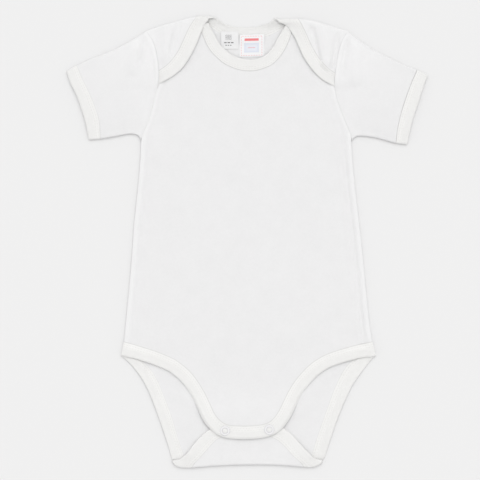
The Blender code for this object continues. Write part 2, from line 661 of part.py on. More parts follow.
def back_leg_seam(side, y):
    """x of the back leg seam, carried on below its table to where it crosses the bottom fold."""
    lowest = BACK_LEG[side][0][0]
    fold_y = BOTTOM_FOLD[1][1] + 1.2
    if y < lowest:
        return mix(back_leg[side](lowest)[0], FOLD_SEAM_X[side][0], (lowest - y) / (lowest - fold_y))
    return back_leg[side](y)[0]


def back_leg_edge(side, y):
    """The same for the free edge of the back leg binding: x and y."""
    lowest = BACK_LEG[side][0][0]
    fold_y = BOTTOM_FOLD[1][1] + 1.2
    if y < lowest:
        corner_x = FOLD_EDGE_X[side][0]
        corner = corner_x, bottom_fold(corner_x)[0] + 1.4
        return mix_points(back_leg[side](lowest)[1:], corner, (lowest - y) / (lowest - fold_y))
    return back_leg[side](y)[1:]


def front_plan(column, row):
    stretch, station = FRONT_ROWS[row]
    if stretch == 'leg':
        return front_leg_point(column, station)
    if stretch == 'body':
        return body_row(column, *station)
    if stretch == 'arm':
        return arm_row(column, station, front_top_row)
    return front_top_row(column)


# ---------------------------------------------------------------- the two panels
def make_back_panel():
    def place(column, row, inner):
        stretch, station = BACK_ROWS[row]
        x, y = back_plan(column, row)
        if stretch == 'tab':
            return layer_point(x, y, tab_under(x, y), FABRIC, inner)
        if stretch == 'bottom turn':
            return turned_over(x, y, -1, station, tab_under(x, y + 2.0) + FABRIC, FABRIC, inner)
        if stretch == 'shoulder turn':
            if LAP_COLUMN < column < COLUMNS - LAP_COLUMN:
                return layer_point(*back_top(column), 0.0, FABRIC, inner, upper=False)
            return turned_over(x, y, 1, station, 2 * flap_turn(x), FABRIC, inner)
        if stretch == 'flap':
            return layer_point(x, y, flap_under(x, y), FABRIC, inner)
        return layer_point(x, y, 0.0, FABRIC, inner, upper=False)

    def neck_opening(column, row):
        return row > NECK_ROW and LAP_COLUMN < column < COLUMNS - LAP_COLUMN

    wall("back_panel", COLUMNS, len(BACK_ROWS) - 1, place, COTTON, cut_away=neck_opening)


def make_front_panel():
    def place(column, row, inner):
        x, y = front_plan(column, row)
        return layer_point(x, y, front_under(x, y), FABRIC, inner, top=front_top(x, y))

    wall("front_panel", COLUMNS, len(FRONT_ROWS) - 1, place, COTTON)


# ---------------------------------------------------------------- bindings
def moved_out(seam, width, first_edge=None, last_edge=None):
    """The free edge of a band of that width, on the right-hand side of its seam's direction."""
    edge = []
    for i, point in enumerate(seam):
        before, after = seam[max(i - 1, 0)], seam[min(i + 1, len(seam) - 1)]
        along = Vector((after[0] - before[0], after[1] - before[1])).normalized()
        edge.append((point[0] + along.y * width, point[1] - along.x * width))
    edge[0] = first_edge or edge[0]
    edge[-1] = last_edge or edge[-1]
    return edge


def pace(points):
    """How far along a line each of its points lies, from 0 to 1."""
    lengths = [0.0]
    for start, end in zip(points, points[1:]):
        lengths.append(lengths[-1] + math.dist(start, end))
    return [length / lengths[-1] for length in lengths]


def band_point(seam, edge, part):
    """Point across a band, whose seam side starts a gap away from the seam."""
    width = math.dist(seam, edge)
    return mix_points(seam, edge, mix(GAP / width, 1.0, part))


def band(name, stations, under_of):
    """A binding: its stations are (seam point, edge point, layer, turn, outward).

    layer is 'floor', 'upper' or 'turn'; turn is the angle on a turn, and outward the way it faces.
    """
    def place(column, row, inner):
        seam, edge, layer, turn, outward = stations[row]
        part = BAND_SHARES[column]
        x, y = band_point(seam, edge, part)
        if layer == 'upper' and outward == 1:
            x = min(max(x, body_edge(y)[0]), body_edge(y)[1])
        thin = EDGE_ROUND if part in (0.0, 1.0) else 0.0
        if layer == 'turn':
            line_y = shoulder_y(x) if outward == 1 else bottom_fold(x)[0]
            top = under_of(x, line_y - 3.0 * outward) + BINDING
            return turned_over(x, line_y, outward, turn, top, BINDING, inner, thin)
        return layer_point(x, y, under_of(x, y), BINDING, inner, upper=layer == 'upper', thin=thin)

    wall(name, len(BAND_SHARES) - 1, len(stations) - 1, place, RIB)


def make_front_neck_binding():
    count = COLUMNS - 2 * NECK_COLUMN
    seam = [front_top_row(column) for column in range(COLUMNS - NECK_COLUMN, NECK_COLUMN - 1, -1)]
    edge = moved_out(seam, FRONT_NECK_WIDTH)
    stations = [(seam[i], edge[i], 'upper', 0.0, 0) for i in range(count + 1)]
    band("neck_binding_front", stations, front_neck_under)


def make_back_neck_binding():
    """One band: left flap, over the shoulder, round the back neck, over the other shoulder, right flap."""
    def flap_stations(side):
        last, turned_row = len(BACK_ROWS) - 1, BACK_ROWS.index(('shoulder turn', math.pi))
        columns = range(LAP_COLUMN + 1) if side == LEFT else range(COLUMNS, LAP_COLUMNS[side] - 1, -1)
        seam = [back_plan(column, last) for column in columns]
        seam += [back_plan(LAP_COLUMNS[side], row) for row in range(last - 1, turned_row, -1)]
        return [(point, flap_edge[side](part), 'upper', 0.0, 1) for point, part in zip(seam, pace(seam))]

    def turn_stations(side, angles):
        return [((mix(*LAP_SEAM_X[side], angle / math.pi), 0.0), (mix(*LAP_EDGE_X[side], angle / math.pi), 0.0),
                 'turn', angle, 1) for angle in angles]

    neck_columns = range(LAP_COLUMN + 1, COLUMNS - LAP_COLUMN)
    neck = [(back_top(column), back_neck_edge((column - LAP_COLUMN) / (COLUMNS - 2 * LAP_COLUMN)), 'floor', 0.0, 1)
            for column in neck_columns]
    stations = (flap_stations(LEFT) + turn_stations(LEFT, evenly(FOLD_STEPS, math.pi, 0.0)) + neck
                + turn_stations(RIGHT, evenly(FOLD_STEPS, 0.0, math.pi)) + flap_stations(RIGHT)[::-1])
    band("neck_binding_back", stations, flap_band_under)


def make_front_leg_binding():
    rows = range(len(FRONT_LEG_ROWS), 0, -1)
    seam = [front_plan(0, row) for row in rows]
    seam += [front_plan(column, 0) for column in range(COLUMNS + 1)]
    seam += [front_plan(COLUMNS, row) for row in reversed(rows)]
    edge = moved_out(seam, FRONT_LEG_WIDTH, HIP_CORNER[LEFT], HIP_CORNER[RIGHT])
    stations = [(s, e, 'upper', 0.0, 0) for s, e in zip(seam, edge)]
    band("leg_binding_front", stations, front_leg_under)


def make_back_leg_binding():
    """One band: left leg edge, turned up with the tab, across the tab's end, and back up the right leg."""
    first_turn = BACK_ROWS.index(('bottom turn', math.pi))
    last_turn = BACK_ROWS.index(('bottom turn', 0.0))
    leg_rows = range(last_turn + 1, HIP_ROW + 1)

    def leg_stations(side):
        seam = [back_plan(0 if side == LEFT else COLUMNS, row) for row in leg_rows]
        return [(point, back_leg_edge(side, point[1]), 'floor', 0.0, -1) for point in seam]

    def turn_stations(side, rows):
        stations = []
        for row in rows:
            angle = BACK_ROWS[row][1]
            seam_x = mix(*FOLD_SEAM_X[side], angle / math.pi)
            edge_x = mix(*FOLD_EDGE_X[side], angle / math.pi)
            stations.append(((seam_x, 0.0), (edge_x, 0.0), 'turn', angle, -1))
        return stations

    seam = [back_plan(0, row) for row in range(first_turn - 1, 0, -1)]
    seam += [back_plan(column, 0) for column in range(COLUMNS + 1)]
    seam += [back_plan(COLUMNS, row) for row in range(1, first_turn)]
    tab = [(point, tab_edge(mix(0.06, 0.94, part)), 'upper', 0.0, -1) for point, part in zip(seam, pace(seam))]
    turn_rows = range(first_turn, last_turn + 1)
    stations = (leg_stations(LEFT)[::-1] + turn_stations(LEFT, reversed(turn_rows)) + tab
                + turn_stations(RIGHT, turn_rows) + leg_stations(RIGHT))
    band("leg_binding_back", stations, tab_band_under)


# ---------------------------------------------------------------- sleeves and cuffs
def tube(name, side, surface, downs, rows, thickness, under_of, look):
    """A flattened tube: a floor wall and an upper wall that turn into each other at both long edges."""
    turns = [math.pi * i / TUBE_FOLD_STEPS for i in range(1, TUBE_FOLD_STEPS)]
    ring = [(down, 0.0) for down in reversed(downs)] + [(0.0, angle) for angle in turns]
    ring += [(down, math.pi) for down in downs] + [(1.0, math.pi + angle) for angle in turns]
    ring.append(ring[0])

    def place(column, row, inner):
        along = row / rows
        down, angle = ring[column]
        top_point, low_point = Vector(surface(along, 0.0)), Vector(surface(along, 1.0))
        spine = (top_point - low_point).normalized()
        turn_at = {end: (under_of(side, along, end, *surface(along, end)) + thickness) / 2 for end in (0.0, 1.0)}
        plan = Vector(surface(along, down))
        plan -= spine * mix(turn_at[0.0], -turn_at[1.0], down)
        if angle == 0.0:
            return *plan, thickness if inner else 0.0
        if angle == math.pi:
            under = under_of(side, along, down, *plan)
            return *plan, under if inner else under + thickness
        outer = turn_at[down]
        radius = outer - thickness if inner else outer
        plan += spine * radius * math.sin(angle)
        return *plan, outer - radius * math.cos(angle)

    wall(name, len(ring) - 1, rows, place, look, closed=True)


def armhole(side):
    """The armhole a gap outside the panels, from the shoulder tip (0) to the underarm (1)."""
    column = 0 if side == LEFT else 1
    high, low = SLEEVE_TOP[side][0], SLEEVE_UNDER[side][0]

    def at(down):
        y = mix(high[1], low[1], down)
        end_x = high[0] if down == 0.0 else low[0]
        inside = body_edge(y)[column] + side * GAP
        return (end_x if down in (0.0, 1.0) else inside), y

    return at


def make_sleeve(side, word):
    high, low = SLEEVE_TOP[side][0][1], SLEEVE_UNDER[side][0][1]
    downs = [0.0] + [(high - y) / (high - low) for y in reversed(ARM_ROWS)] + [1.0]
    surface = patch(armhole(side), route(CUFF_SEAM[side]), route(SLEEVE_TOP[side]), route(SLEEVE_UNDER[side]))
    tube("sleeve_" + word, side, surface, downs, SLEEVE_ROWS, FABRIC, sleeve_under, COTTON)
    return downs


def make_cuff(side, word, downs):
    seam, edge = route(CUFF_SEAM[side]), route(CUFF_EDGE[side])

    def surface(along, down):
        return band_point(seam(down), edge(down), along)

    def under(_side, _along, down, _x, _y):
        return CUFF + GAP + 0.4 * soft(4 * down * (1 - down))

    tube("cuff_" + word, side, surface, downs, CUFF_ROWS, CUFF, under, RIB)


# ---------------------------------------------------------------- studs and labels
def make_stud(side, word):
    """The ring-shaped cap on the front tab, and the closed socket and stud between the two tabs."""
    centre = STUD_PLACES[side]
    foot = front_leg_under(*centre) + BINDING + GAP
    head = foot + CAP_HEIGHT
    turned("stud_cap_" + word, ((0.0, head - 0.3), (1.3, head - 0.3), (2.0, head - 0.45), (2.9, head - 0.4),
                                (3.7, head), (4.4, head - 0.1), (CAP_RADIUS, foot + 0.3), (CAP_RADIUS - 0.3, foot),
                                (0.0, foot)), centre, STUD_ENAMEL)
    foot = tab_band_under(*centre) + BINDING + GAP
    head = foot + STUD_HEIGHT
    turned("stud_pair_" + word, ((0.0, head), (STUD_RADIUS - 0.3, head), (STUD_RADIUS, head - 0.3),
                                 (STUD_RADIUS, foot + 0.3), (STUD_RADIUS - 0.3, foot), (0.0, foot)),
           centre, STUD_ENAMEL)


def make_label(name, left, right, bottom, top):
    """A label that starts on the back neck binding and hangs down over the back panel."""
    columns, rows = 3, 6

    def place(column, row, inner):
        y = mix(bottom, top, row / rows)
        under = FABRIC + GAP + BAND_STEP * soft((y - 196.5) / 6.0)
        return mix(left, right, column / columns), y, under if inner else under + LABEL

    wall(name, columns, rows, place, SATIN)


# ---------------------------------------------------------------- the garment
for leftover in list(bpy.data.objects):
    bpy.data.objects.remove(leftover, do_unlink=True)
garment = make_collection("baby_bodysuit")

make_back_panel()
make_front_panel()
for sleeve_side, sleeve_word in ((LEFT, "left"), (RIGHT, "right")):
    wall_stations = make_sleeve(sleeve_side, sleeve_word)
    make_cuff(sleeve_side, sleeve_word, wall_stations)
    make_stud(sleeve_side, sleeve_word)
make_front_neck_binding()
make_back_neck_binding()
make_front_leg_binding()
make_back_leg_binding()
make_label("label_small", *LABEL_SMALL)
make_label("label_square", *LABEL_SQUARE)
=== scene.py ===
"""Baby bodysuit with short sleeves, lap shoulders and press studs, laid flat with its front up.

Every piece that is cut and sewn on is one closed wall of cloth. A wall starts as a flat slab of squares,
and each of its points is then put where the cut, the folds and the layers below want it. The knit, the
stitches, the studs and the labels come on top of that, and a pale floor, a soft light and a camera above.

The cut is given in millimetres, and MM turns it into metres where a mesh is made. The garment is seen from
above with its neck up: x runs to the right, y towards the neck, and z up from the surface. A side is -1
for the left and 1 for the right as seen so. The wrong side of the cloth is called inner.
"""

import bisect
import math
from collections import namedtuple
from functools import lru_cache

import bmesh
import bpy
from bpy.props import FloatProperty, FloatVectorProperty, PointerProperty
from mathutils import Matrix, Vector, noise


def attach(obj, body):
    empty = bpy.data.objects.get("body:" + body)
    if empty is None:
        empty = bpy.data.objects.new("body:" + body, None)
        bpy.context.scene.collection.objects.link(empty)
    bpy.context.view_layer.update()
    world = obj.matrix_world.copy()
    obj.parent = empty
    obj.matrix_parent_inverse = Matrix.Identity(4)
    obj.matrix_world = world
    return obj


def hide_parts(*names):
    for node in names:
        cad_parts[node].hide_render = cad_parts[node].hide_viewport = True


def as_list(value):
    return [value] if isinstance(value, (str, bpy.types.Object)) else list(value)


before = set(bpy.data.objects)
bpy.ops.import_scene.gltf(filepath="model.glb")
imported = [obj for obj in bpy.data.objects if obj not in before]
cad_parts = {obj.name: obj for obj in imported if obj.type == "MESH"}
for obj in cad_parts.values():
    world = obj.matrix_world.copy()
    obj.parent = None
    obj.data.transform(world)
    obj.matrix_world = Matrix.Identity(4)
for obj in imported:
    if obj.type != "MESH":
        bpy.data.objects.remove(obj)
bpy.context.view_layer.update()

bl_info = {
    "name": "Baby Bodysuit",
    "version": (1, 0, 0),
    "blender": (4, 5, 0),
    "location": "View3D > Sidebar > Bodysuit",
    "description": "Makes a flat-laid baby bodysuit in cotton jersey, with bindings, studs and labels",
    "category": "Object",
}

MM = 0.001
LEFT, RIGHT = -1, 1
SIDES = ((LEFT, "left"), (RIGHT, "right"))

# ---------------------------------------------------------------- layers
GAP = 0.3               # between two pieces at a seam, and between two layers
SHOULDER_END_GAP = 1.0  # from the front's shoulder ends to the start of the shoulder's turn
NECK_RISE = 0.5         # the front lifts towards the neckline by this
LAP_RISE = 0.35         # a flap's binding lifts over the front neck binding by this
STUD_HEIGHT = 0.8       # closed socket and stud between the two crotch bands
TORSO_CROWN = 1.4       # soft rise of the front between its side seams
SLEEVE_CROWN = 1.5      # the same across a sleeve
SEAM = -0.1             # between a binding and its cloth at their seam: below 0, they overlap
SLEEVE_LAP = 0.5        # a sleeve's edge lies over the body's by this along the armhole
SEAM_STEP = 0.12        # a binding starts this much above the cloth that it is sewn to
FLAP_CURL = 0.35        # the free edges of the flaps stand off the front by this
TIP_FLARE = 1.2         # where they meet, the turns of shoulder and sleeve lean out by this
TAB_SPRING = 1.2        # the crotch tab stands off the back along its fold by this
CROTCH_HANG = 0.6       # the free edge of the front tab hangs down by this past the studs
TAB_HANG = 0.9          # and by this more beside the turned-up tab
LEG_EDGE_RISE = 0.6     # the free edge of the back leg binding stands off the surface by this
DEEPEST_FOLD = -1.0     # lowest that a flap's folds may go, so that it stays above the front
TAB_CLEARANCE = 0.1     # between the turned-up tab's pieces and the binding below them, at the corners
SIDE_TROUGH = {LEFT: 0.3, RIGHT: 1.3}   # depth of the trough inside the ridge of a side seam
ARM_WELT = 0.3          # height of the welt that the body has along an armhole
SLEEVE_WELT = 0.9       # and of the sleeve's own, beside a flap
CUFF_CROWN = 0.4        # soft rise across a cuff
STITCH_DENT = 0.22      # a row of stitches draws a binding in by this
EDGE_ROLL = 0.8         # a binding's free edge is thinner by this
PUCKER, FINE_PUCKER, CORNER_PUCKER = 0.09, 0.05, 0.16   # of a binding: along it, and near the neck's corners
STUD_DENT = 0.15        # a stud presses its binding down by this
ARMHOLE_DENT = 0.7      # a binding is pressed down by this where it runs into an armhole
RIM = 0.2               # a wall's edge is rounded over this
CRISP_ANGLE = 48        # a cut edge shows as a line where the wall bends by more than this

# ---------------------------------------------------------------- the cut, as it lies
# Side seams and armholes, from the hip up to the shoulder tip: y, left x, right x.
BODY_EDGE = (
    (-99.5, -122.8, 125.0),
    (-78.0, -120.8, 121.8),
    (-48.0, -117.9, 118.8),
    (-18.0, -115.3, 115.9),
    (12.0, -113.2, 112.9),
    (42.0, -110.3, 109.3),
    (62.0, -108.2, 107.2),
    (82.0, -106.6, 105.2),
    (98.0, -106.0, 104.3),
    (106.0, -104.9, 103.9),
    (118.0, -99.5, 99.0),
    (131.0, -95.6, 93.9),
    (143.0, -92.9, 89.9),
    (156.0, -89.4, 87.7),
    (170.0, -88.6, 88.4),
    (188.0, -90.6, 91.1),
    (201.0, -94.4, 94.9),
    (210.8, -100.1, 100.2),
)
# Shoulder line, where the back turns over to the front: distance from the middle, left y, right y.
SHOULDER = (
    (26.0, 224.4, 224.2),
    (33.0, 224.9, 222.8),
    (40.0, 225.7, 222.9),
    (50.0, 225.4, 222.9),
    (63.0, 222.2, 221.6),
    (75.0, 219.0, 218.3),
    (87.0, 215.6, 214.8),
    (100.2, 211.0, 210.8),
)
# Where the seam and the free edge of the back neck binding turn over: x on the floor and on the flap.
LAP_SEAM_X = {LEFT: (-48.5, -52.5), RIGHT: (49.0, 53.0)}
LAP_EDGE_X = {LEFT: (-28.0, -38.6), RIGHT: (25.5, 31.5)}
NECK_CORNER = {LEFT: (-43.0, 217.0), RIGHT: (42.0, 214.5)}

# Back neckline between the two shoulder crossings, seam and then free edge: x, y.
BACK_NECK_SEAM = ((-40.0, 217.3), (-34.3, 212.9), (-31.4, 210.8), (-26.9, 208.4), (-17.0, 205.3),
                  (3.0, 203.4), (16.0, 204.4), (21.4, 205.9), (26.2, 207.8), (33.8, 211.9),
                  (42.5, 216.4))
BACK_NECK_EDGE = ((-22.3, 217.8), (-14.6, 215.2), (-5.7, 214.3), (3.0, 214.3), (13.4, 215.9),
                  (23.0, 219.2))
# Edges of the two shoulder flaps from the armhole to the shoulder line, seam and then free edge: x, y.
FLAP_SEAM = {
    LEFT: ((-88.6, 170.6), (-78.4, 178.2), (-69.4, 189.7), (-64.3, 199.9), (-58.0, 213.5)),
    RIGHT: ((88.4, 168.3), (79.7, 174.4), (72.1, 183.3), (64.4, 196.1), (58.0, 210.1)),
}
FLAP_EDGE = {
    LEFT: ((-89.2, 157.2), (-74.6, 165.5), (-64.3, 174.4), (-56.7, 185.9), (-50.3, 198.6),
           (-45.2, 211.0), (-42.4, 217.4), (-38.8, 221.2)),
    RIGHT: ((87.8, 155.3), (74.6, 162.9), (65.7, 171.8), (56.8, 184.6), (51.6, 195.8),
            (48.1, 203.3), (44.4, 209.7), (41.6, 213.9), (38.0, 216.9), (31.7, 219.3)),
}
# Front neckline seam, ends under the flaps: x, y. Its binding reaches FRONT_NECK_WIDTH into the opening.
FRONT_NECK_SEAM = ((-47.8, 217.0), (-45.9, 211.0), (-41.6, 200.1), (-37.1, 192.0), (-32.5, 186.6),
                   (-22.3, 178.0), (-8.2, 172.1), (3.0, 170.8), (12.7, 172.1), (25.4, 177.6),
                   (35.7, 188.9), (41.1, 199.6), (44.6, 209.4), (46.6, 214.6))
FRONT_NECK_WIDTH = 11.4
FRONT_NECK_END = {LEFT: (-38.6, 219.2), RIGHT: (38.2, 216.6)}   # its free edge's ends
# Front leg seams from the crotch tab up to the hips, and the tab's bottom between them: x, y.
FRONT_LEG = {
    LEFT: ((-42.0, -151.2), (-48.6, -140.1), (-57.0, -129.3), (-66.2, -121.4), (-73.8, -116.4),
           (-91.1, -109.2), (-108.3, -103.8), (-122.8, -99.5)),
    RIGHT: ((40.8, -150.2), (46.6, -140.6), (54.2, -131.1), (62.9, -122.4), (72.4, -115.8),
            (83.0, -110.8), (105.9, -103.8), (125.0, -99.5)),
}
FRONT_TAB = ((-42.0, -151.2), (-37.4, -160.7), (-31.8, -172.2), (-25.6, -179.0), (-19.3, -182.3),
             (-9.7, -183.4), (2.0, -183.5), (14.1, -182.3), (20.8, -180.3), (25.5, -177.0),
             (31.3, -169.3), (36.1, -159.8), (40.8, -150.2))
FRONT_LEG_WIDTH = 13.0
# Back leg edges from the bottom fold up to the hip: y of the seam, its x, then x and y of the free edge.
BACK_LEG = {
    LEFT: (
        (-213.4, -62.8, -75.1, -217.0),
        (-198.0, -68.1, -79.6, -201.2),
        (-172.2, -75.8, -87.8, -176.8),
        (-151.2, -83.9, -95.1, -157.0),
        (-140.6, -88.3, -99.0, -148.0),
        (-131.1, -93.4, -103.8, -138.8),
        (-125.3, -97.8, -107.5, -133.0),
        (-120.1, -102.8, -112.8, -126.3),
        (-112.0, -111.5, -118.7, -120.0),
        (-99.5, -122.8, -126.0, -113.6),
    ),
    RIGHT: (
        (-213.4, 64.3, 78.0, -214.6),
        (-196.1, 69.6, 83.2, -197.8),
        (-174.1, 77.2, 90.7, -176.0),
        (-150.2, 85.8, 99.2, -155.7),
        (-138.7, 90.8, 104.0, -145.8),
        (-127.2, 96.9, 110.7, -135.2),
        (-119.6, 103.2, 116.0, -128.0),
        (-111.0, 113.0, 122.6, -119.8),
        (-99.5, 125.0, 128.4, -113.7),
    ),
}
HIP_CORNER = {LEFT: (-125.4, -113.2), RIGHT: (128.4, -113.7)}
# Bottom fold, where the back turns up to the front: x, y.
BOTTOM_FOLD = ((-75.4, -219.0), (-73.4, -221.8), (-70.4, -224.2), (-65.7, -225.6), (-57.0, -225.7),
               (-32.0, -223.8), (0.0, -222.6), (32.0, -223.0), (57.0, -224.9), (64.0, -225.2), (70.0, -223.8),
               (74.2, -221.2), (76.6, -218.4))
# Where the back leg seam and free edge cross that fold, on the floor layer and on the turned-up one.
FOLD_SEAM_X = {LEFT: (-57.4, -53.7), RIGHT: (59.2, 55.2)}
FOLD_EDGE_X = {LEFT: (-74.8, -74.6), RIGHT: (75.8, 75.4)}
# Turned-up tab: side seams from the fold up, the end seam between them, and the free edge all round.
TAB_SIDE = {
    LEFT: ((-52.6, -221.4), (-43.2, -211.4), (-36.5, -203.8), (-30.8, -198.0)),
    RIGHT: ((54.2, -221.0), (44.7, -212.4), (38.0, -204.7), (31.3, -198.6)),
}
TAB_END = ((-30.8, -198.0), (-24.0, -194.3), (-12.0, -193.0), (0.0, -193.0), (12.0, -193.1),
           (23.0, -194.6), (31.3, -198.6))
TAB_EDGE = ((-72.4, -219.4), (-61.4, -212.6), (-54.0, -203.0), (-46.1, -194.3), (-37.2, -186.9),
            (-28.0, -182.9), (-15.0, -181.0), (0.0, -180.8), (15.0, -181.0), (28.0, -182.0),
            (36.1, -185.6), (43.7, -191.3), (51.6, -199.8), (59.4, -208.4), (66.4, -215.0), (73.0, -218.9))

# Sleeves: top fold and underarm line from the armhole to the cuff seam, then the cuff seam and the
# cuff's free edge from top to bottom: x, y.
SLEEVE_TOP = {
    LEFT: ((-98.8, 211.5), (-107.7, 206.2), (-118.0, 199.9), (-137.0, 190.3), (-157.5, 182.5),
           (-169.8, 176.8)),
    RIGHT: ((98.8, 211.5), (112.9, 201.2), (125.7, 192.3), (143.5, 183.3), (158.8, 176.3),
            (169.7, 172.0)),
}
SLEEVE_UNDER = {
    LEFT: ((-106.2, 101.0), (-107.4, 104.4), (-110.6, 107.2), (-118.0, 107.9), (-130.0, 105.7),
           (-145.6, 103.0)),
    RIGHT: ((104.6, 100.4), (106.6, 103.6), (111.4, 105.9), (126.9, 104.4), (137.1, 101.9),
            (148.3, 98.7)),
}
CUFF_SEAM = {
    LEFT: ((-169.8, 176.8), (-165.1, 165.5), (-157.2, 148.9), (-151.1, 134.0), (-147.2, 121.0),
           (-145.6, 103.0)),
    RIGHT: ((169.7, 172.0), (164.1, 159.1), (157.7, 141.2), (152.8, 124.7), (149.4, 108.5),
            (148.3, 98.7)),
}
CUFF_EDGE = {
    LEFT: ((-180.3, 170.8), (-176.8, 160.4), (-170.3, 147.0), (-165.0, 132.3), (-161.0, 119.0),
           (-157.5, 102.0)),
    RIGHT: ((180.5, 166.8), (175.8, 154.0), (170.5, 137.4), (165.0, 120.8), (161.4, 105.5),
            (159.6, 97.2)),
}

# Soft folds, as lines on the cloth: x and y of both ends, half width, height (below 0 a trough).
FLAP_FOLDS = (
    (-79.0, 212.0, -82.0, 186.0, 11.0, 2.4),
    (-68.5, 220.0, -72.5, 204.0, 3.8, -3.0),
    (-72.5, 204.0, -76.3, 188.0, 3.4, -2.7),
    (75.0, 212.0, 79.5, 180.0, 14.0, 3.3),
    (65.0, 213.0, 69.0, 196.0, 3.6, -2.8),
    (69.0, 196.0, 72.8, 182.0, 3.2, -2.5),
    (90.0, 205.0, 87.5, 190.0, 3.2, -2.5),
    (87.5, 190.0, 85.0, 174.0, 3.0, -2.3),
)
SLEEVE_FOLDS = (
    (-100.5, 209.0, -103.7, 195.3, 3.8, -2.2),
    (-103.7, 195.3, -106.4, 180.0, 3.4, -1.8),
    (-93.4, 180.0, -93.4, 164.0, 2.2, -0.6),
    (-111.0, 201.0, -113.5, 172.0, 9.0, 1.9),
    (101.0, 203.0, 97.8, 186.0, 3.6, -1.7),
    (97.8, 186.0, 95.0, 168.0, 3.2, -1.4),
    (109.0, 196.0, 106.0, 162.0, 9.0, 1.5),
    (-112.5, 109.0, -106.0, 113.5, 2.3, -0.7),
    (109.0, 114.0, 109.6, 107.0, 1.9, -0.6),
    (114.4, 112.5, 115.0, 107.0, 1.9, -0.6),
)
FRONT_FOLDS = (
    (-99.0, 112.0, -86.0, 99.0, 7.0, 0.25),
    (98.0, 112.0, 84.0, 96.0, 7.0, 0.25),
    (-112.0, -84.0, -92.0, -88.0, 6.0, 0.2),
    (113.0, -84.0, 93.0, -88.0, 6.0, 0.2),
)
# Soft dips of the front alone, below the free edges of the flaps.
FRONT_DIPS = (
    (-57.0, 188.0, -66.0, 174.5, 10.0, -0.6),
    (-66.0, 174.5, -82.0, 163.0, 8.0, -0.3),
    (56.0, 188.0, 66.0, 172.0, 10.0, -0.6),
    (66.0, 172.0, 82.0, 161.0, 8.0, -0.3),
)

# ---------------------------------------------------------------- studs and labels
STUD_PLACES = {LEFT: (-22.0, -188.2), RIGHT: (22.2, -187.2)}
CAP_RADIUS = 4.9
CAP_HEIGHT = 0.55
RING_HOLE = 2.8
RING_SEAT = 0.12        # the middle of a ring's height is above the binding by this
RING_SIDES, RING_STEPS = 14, 48
MIDDLE_RADIUS = 2.9     # the cloth that swells up in a ring
MIDDLE_CLOTH = 3.0      # the same, measured along the cloth
MIDDLE_HEIGHT = 0.62
MIDDLE_SEAT = -0.25     # its own middle, from the binding
MIDDLE_GATHERS = 5      # folds of that cloth at the ring's prongs
LABEL_WALL = 0.3
LABEL_GAP = 0.04        # from the back to a label
LABEL_SQUARES = 24      # along each side
SQUARE_TILT = 0.02      # slope of the square label's lower edge
# Labels: left x, right x, bottom y, top y.
LABEL_SMALL = (-26.2, -8.4, 192.4, 210.4)
LABEL_SQUARE = (-7.5, 17.3, 184.8, 207.4)

# ---------------------------------------------------------------- stage
WINDOW_FROM = (0.08, 0.5, 1.0)  # towards the light
WINDOW_SPREAD = 56      # degrees of sky that it fills
FLOOR_Z = -0.15         # just under the lowest cloth

# ---------------------------------------------------------------- curves and soft steps
def soft(t):
    """Ease from 0 to 1 as t goes from 0 to 1."""
    if t <= 0.0:
        return 0.0
    return t * t * (3 - 2 * t) if t < 1.0 else 1.0


def ease(value, start, end):
    """0 up to start, 1 from end on and soft between them; start may also be the higher one."""
    return soft((value - start) / (end - start))


def mix(a, b, t):
    """Between two numbers: the first where t is 0, the second where it is 1."""
    return a + (b - a) * t


def mix_points(a, b, t):
    """The same between two points."""
    return [mix(p, q, t) for p, q in zip(a, b)]


def through(rows):
    """Smooth curves through a table whose first column rises: gives the other columns at any station."""
    stations = [row[0] for row in rows]
    last = len(rows) - 1
    slopes = []
    for before, after in zip(rows[:1] + rows[:-1], rows[1:] + rows[-1:]):
        slopes.append([(b - a) / (after[0] - before[0]) for a, b in zip(before, after)])

    @lru_cache(maxsize=50000)
    def at(station):
        station = min(max(station, stations[0]), stations[-1])
        i = min(bisect.bisect_right(stations, station), last) - 1
        span = rows[i + 1][0] - rows[i][0]
        t = (station - rows[i][0]) / span
        leave, arrive = span * t * (1 - t) ** 2, span * t * t * (1 - t)
        ends = zip(rows[i][1:], rows[i + 1][1:], slopes[i][1:], slopes[i + 1][1:])
        return tuple(mix(a, b, soft(t)) + leave * up - arrive * down for a, b, up, down in ends)

    return at


def route(points):
    """Smooth curve through points in plan: 0 gives the first point and 1 the last, at an even pace."""
    rows = [(0.0, *points[0])]
    for start, end in zip(points, points[1:]):
        rows.append((rows[-1][0] + math.dist(start, end), *end))
    curve = through(tuple(rows))
    return lambda fraction: curve(fraction * rows[-1][0])


def swell(point, centre, reach, full):
    """1 within full of the centre, falling softly to 0 at reach."""
    return ease(math.dist(point, centre), reach, full)


def fold_height(x, y, folds):
    """The highest ridge and the deepest trough at a point; each fades out at its half width."""
    highest, deepest = 0.0, 0.0
    for x0, y0, x1, y1, half_width, rise in folds:
        along = Vector((x1 - x0, y1 - y0))
        offset = Vector((x - x0, y - y0))
        t = min(max(offset.dot(along) / along.length_squared, 0.0), 1.0)
        height = rise * ease((offset - along * t).length, half_width, 0.0)
        highest, deepest = max(highest, height), min(deepest, height)
    return highest + deepest


body_edge = through(BODY_EDGE)
shoulder_line = through(SHOULDER)
bottom_fold = through(BOTTOM_FOLD)
back_leg = {side: through(BACK_LEG[side]) for side in (LEFT, RIGHT)}
BOTTOM_CORNER = {side: (FOLD_EDGE_X[side][0], bottom_fold(FOLD_EDGE_X[side][0])[0]) for side in (LEFT, RIGHT)}


def side_of(x):
    return LEFT if x < 0 else RIGHT


def shoulder_y(x):
    return shoulder_line(abs(x))[0 if x < 0 else 1]


def side_inset(x, y):
    """How far a point lies inside the nearer side seam or armhole."""
    left, right = body_edge(y)
    return min(x - left, right - x)


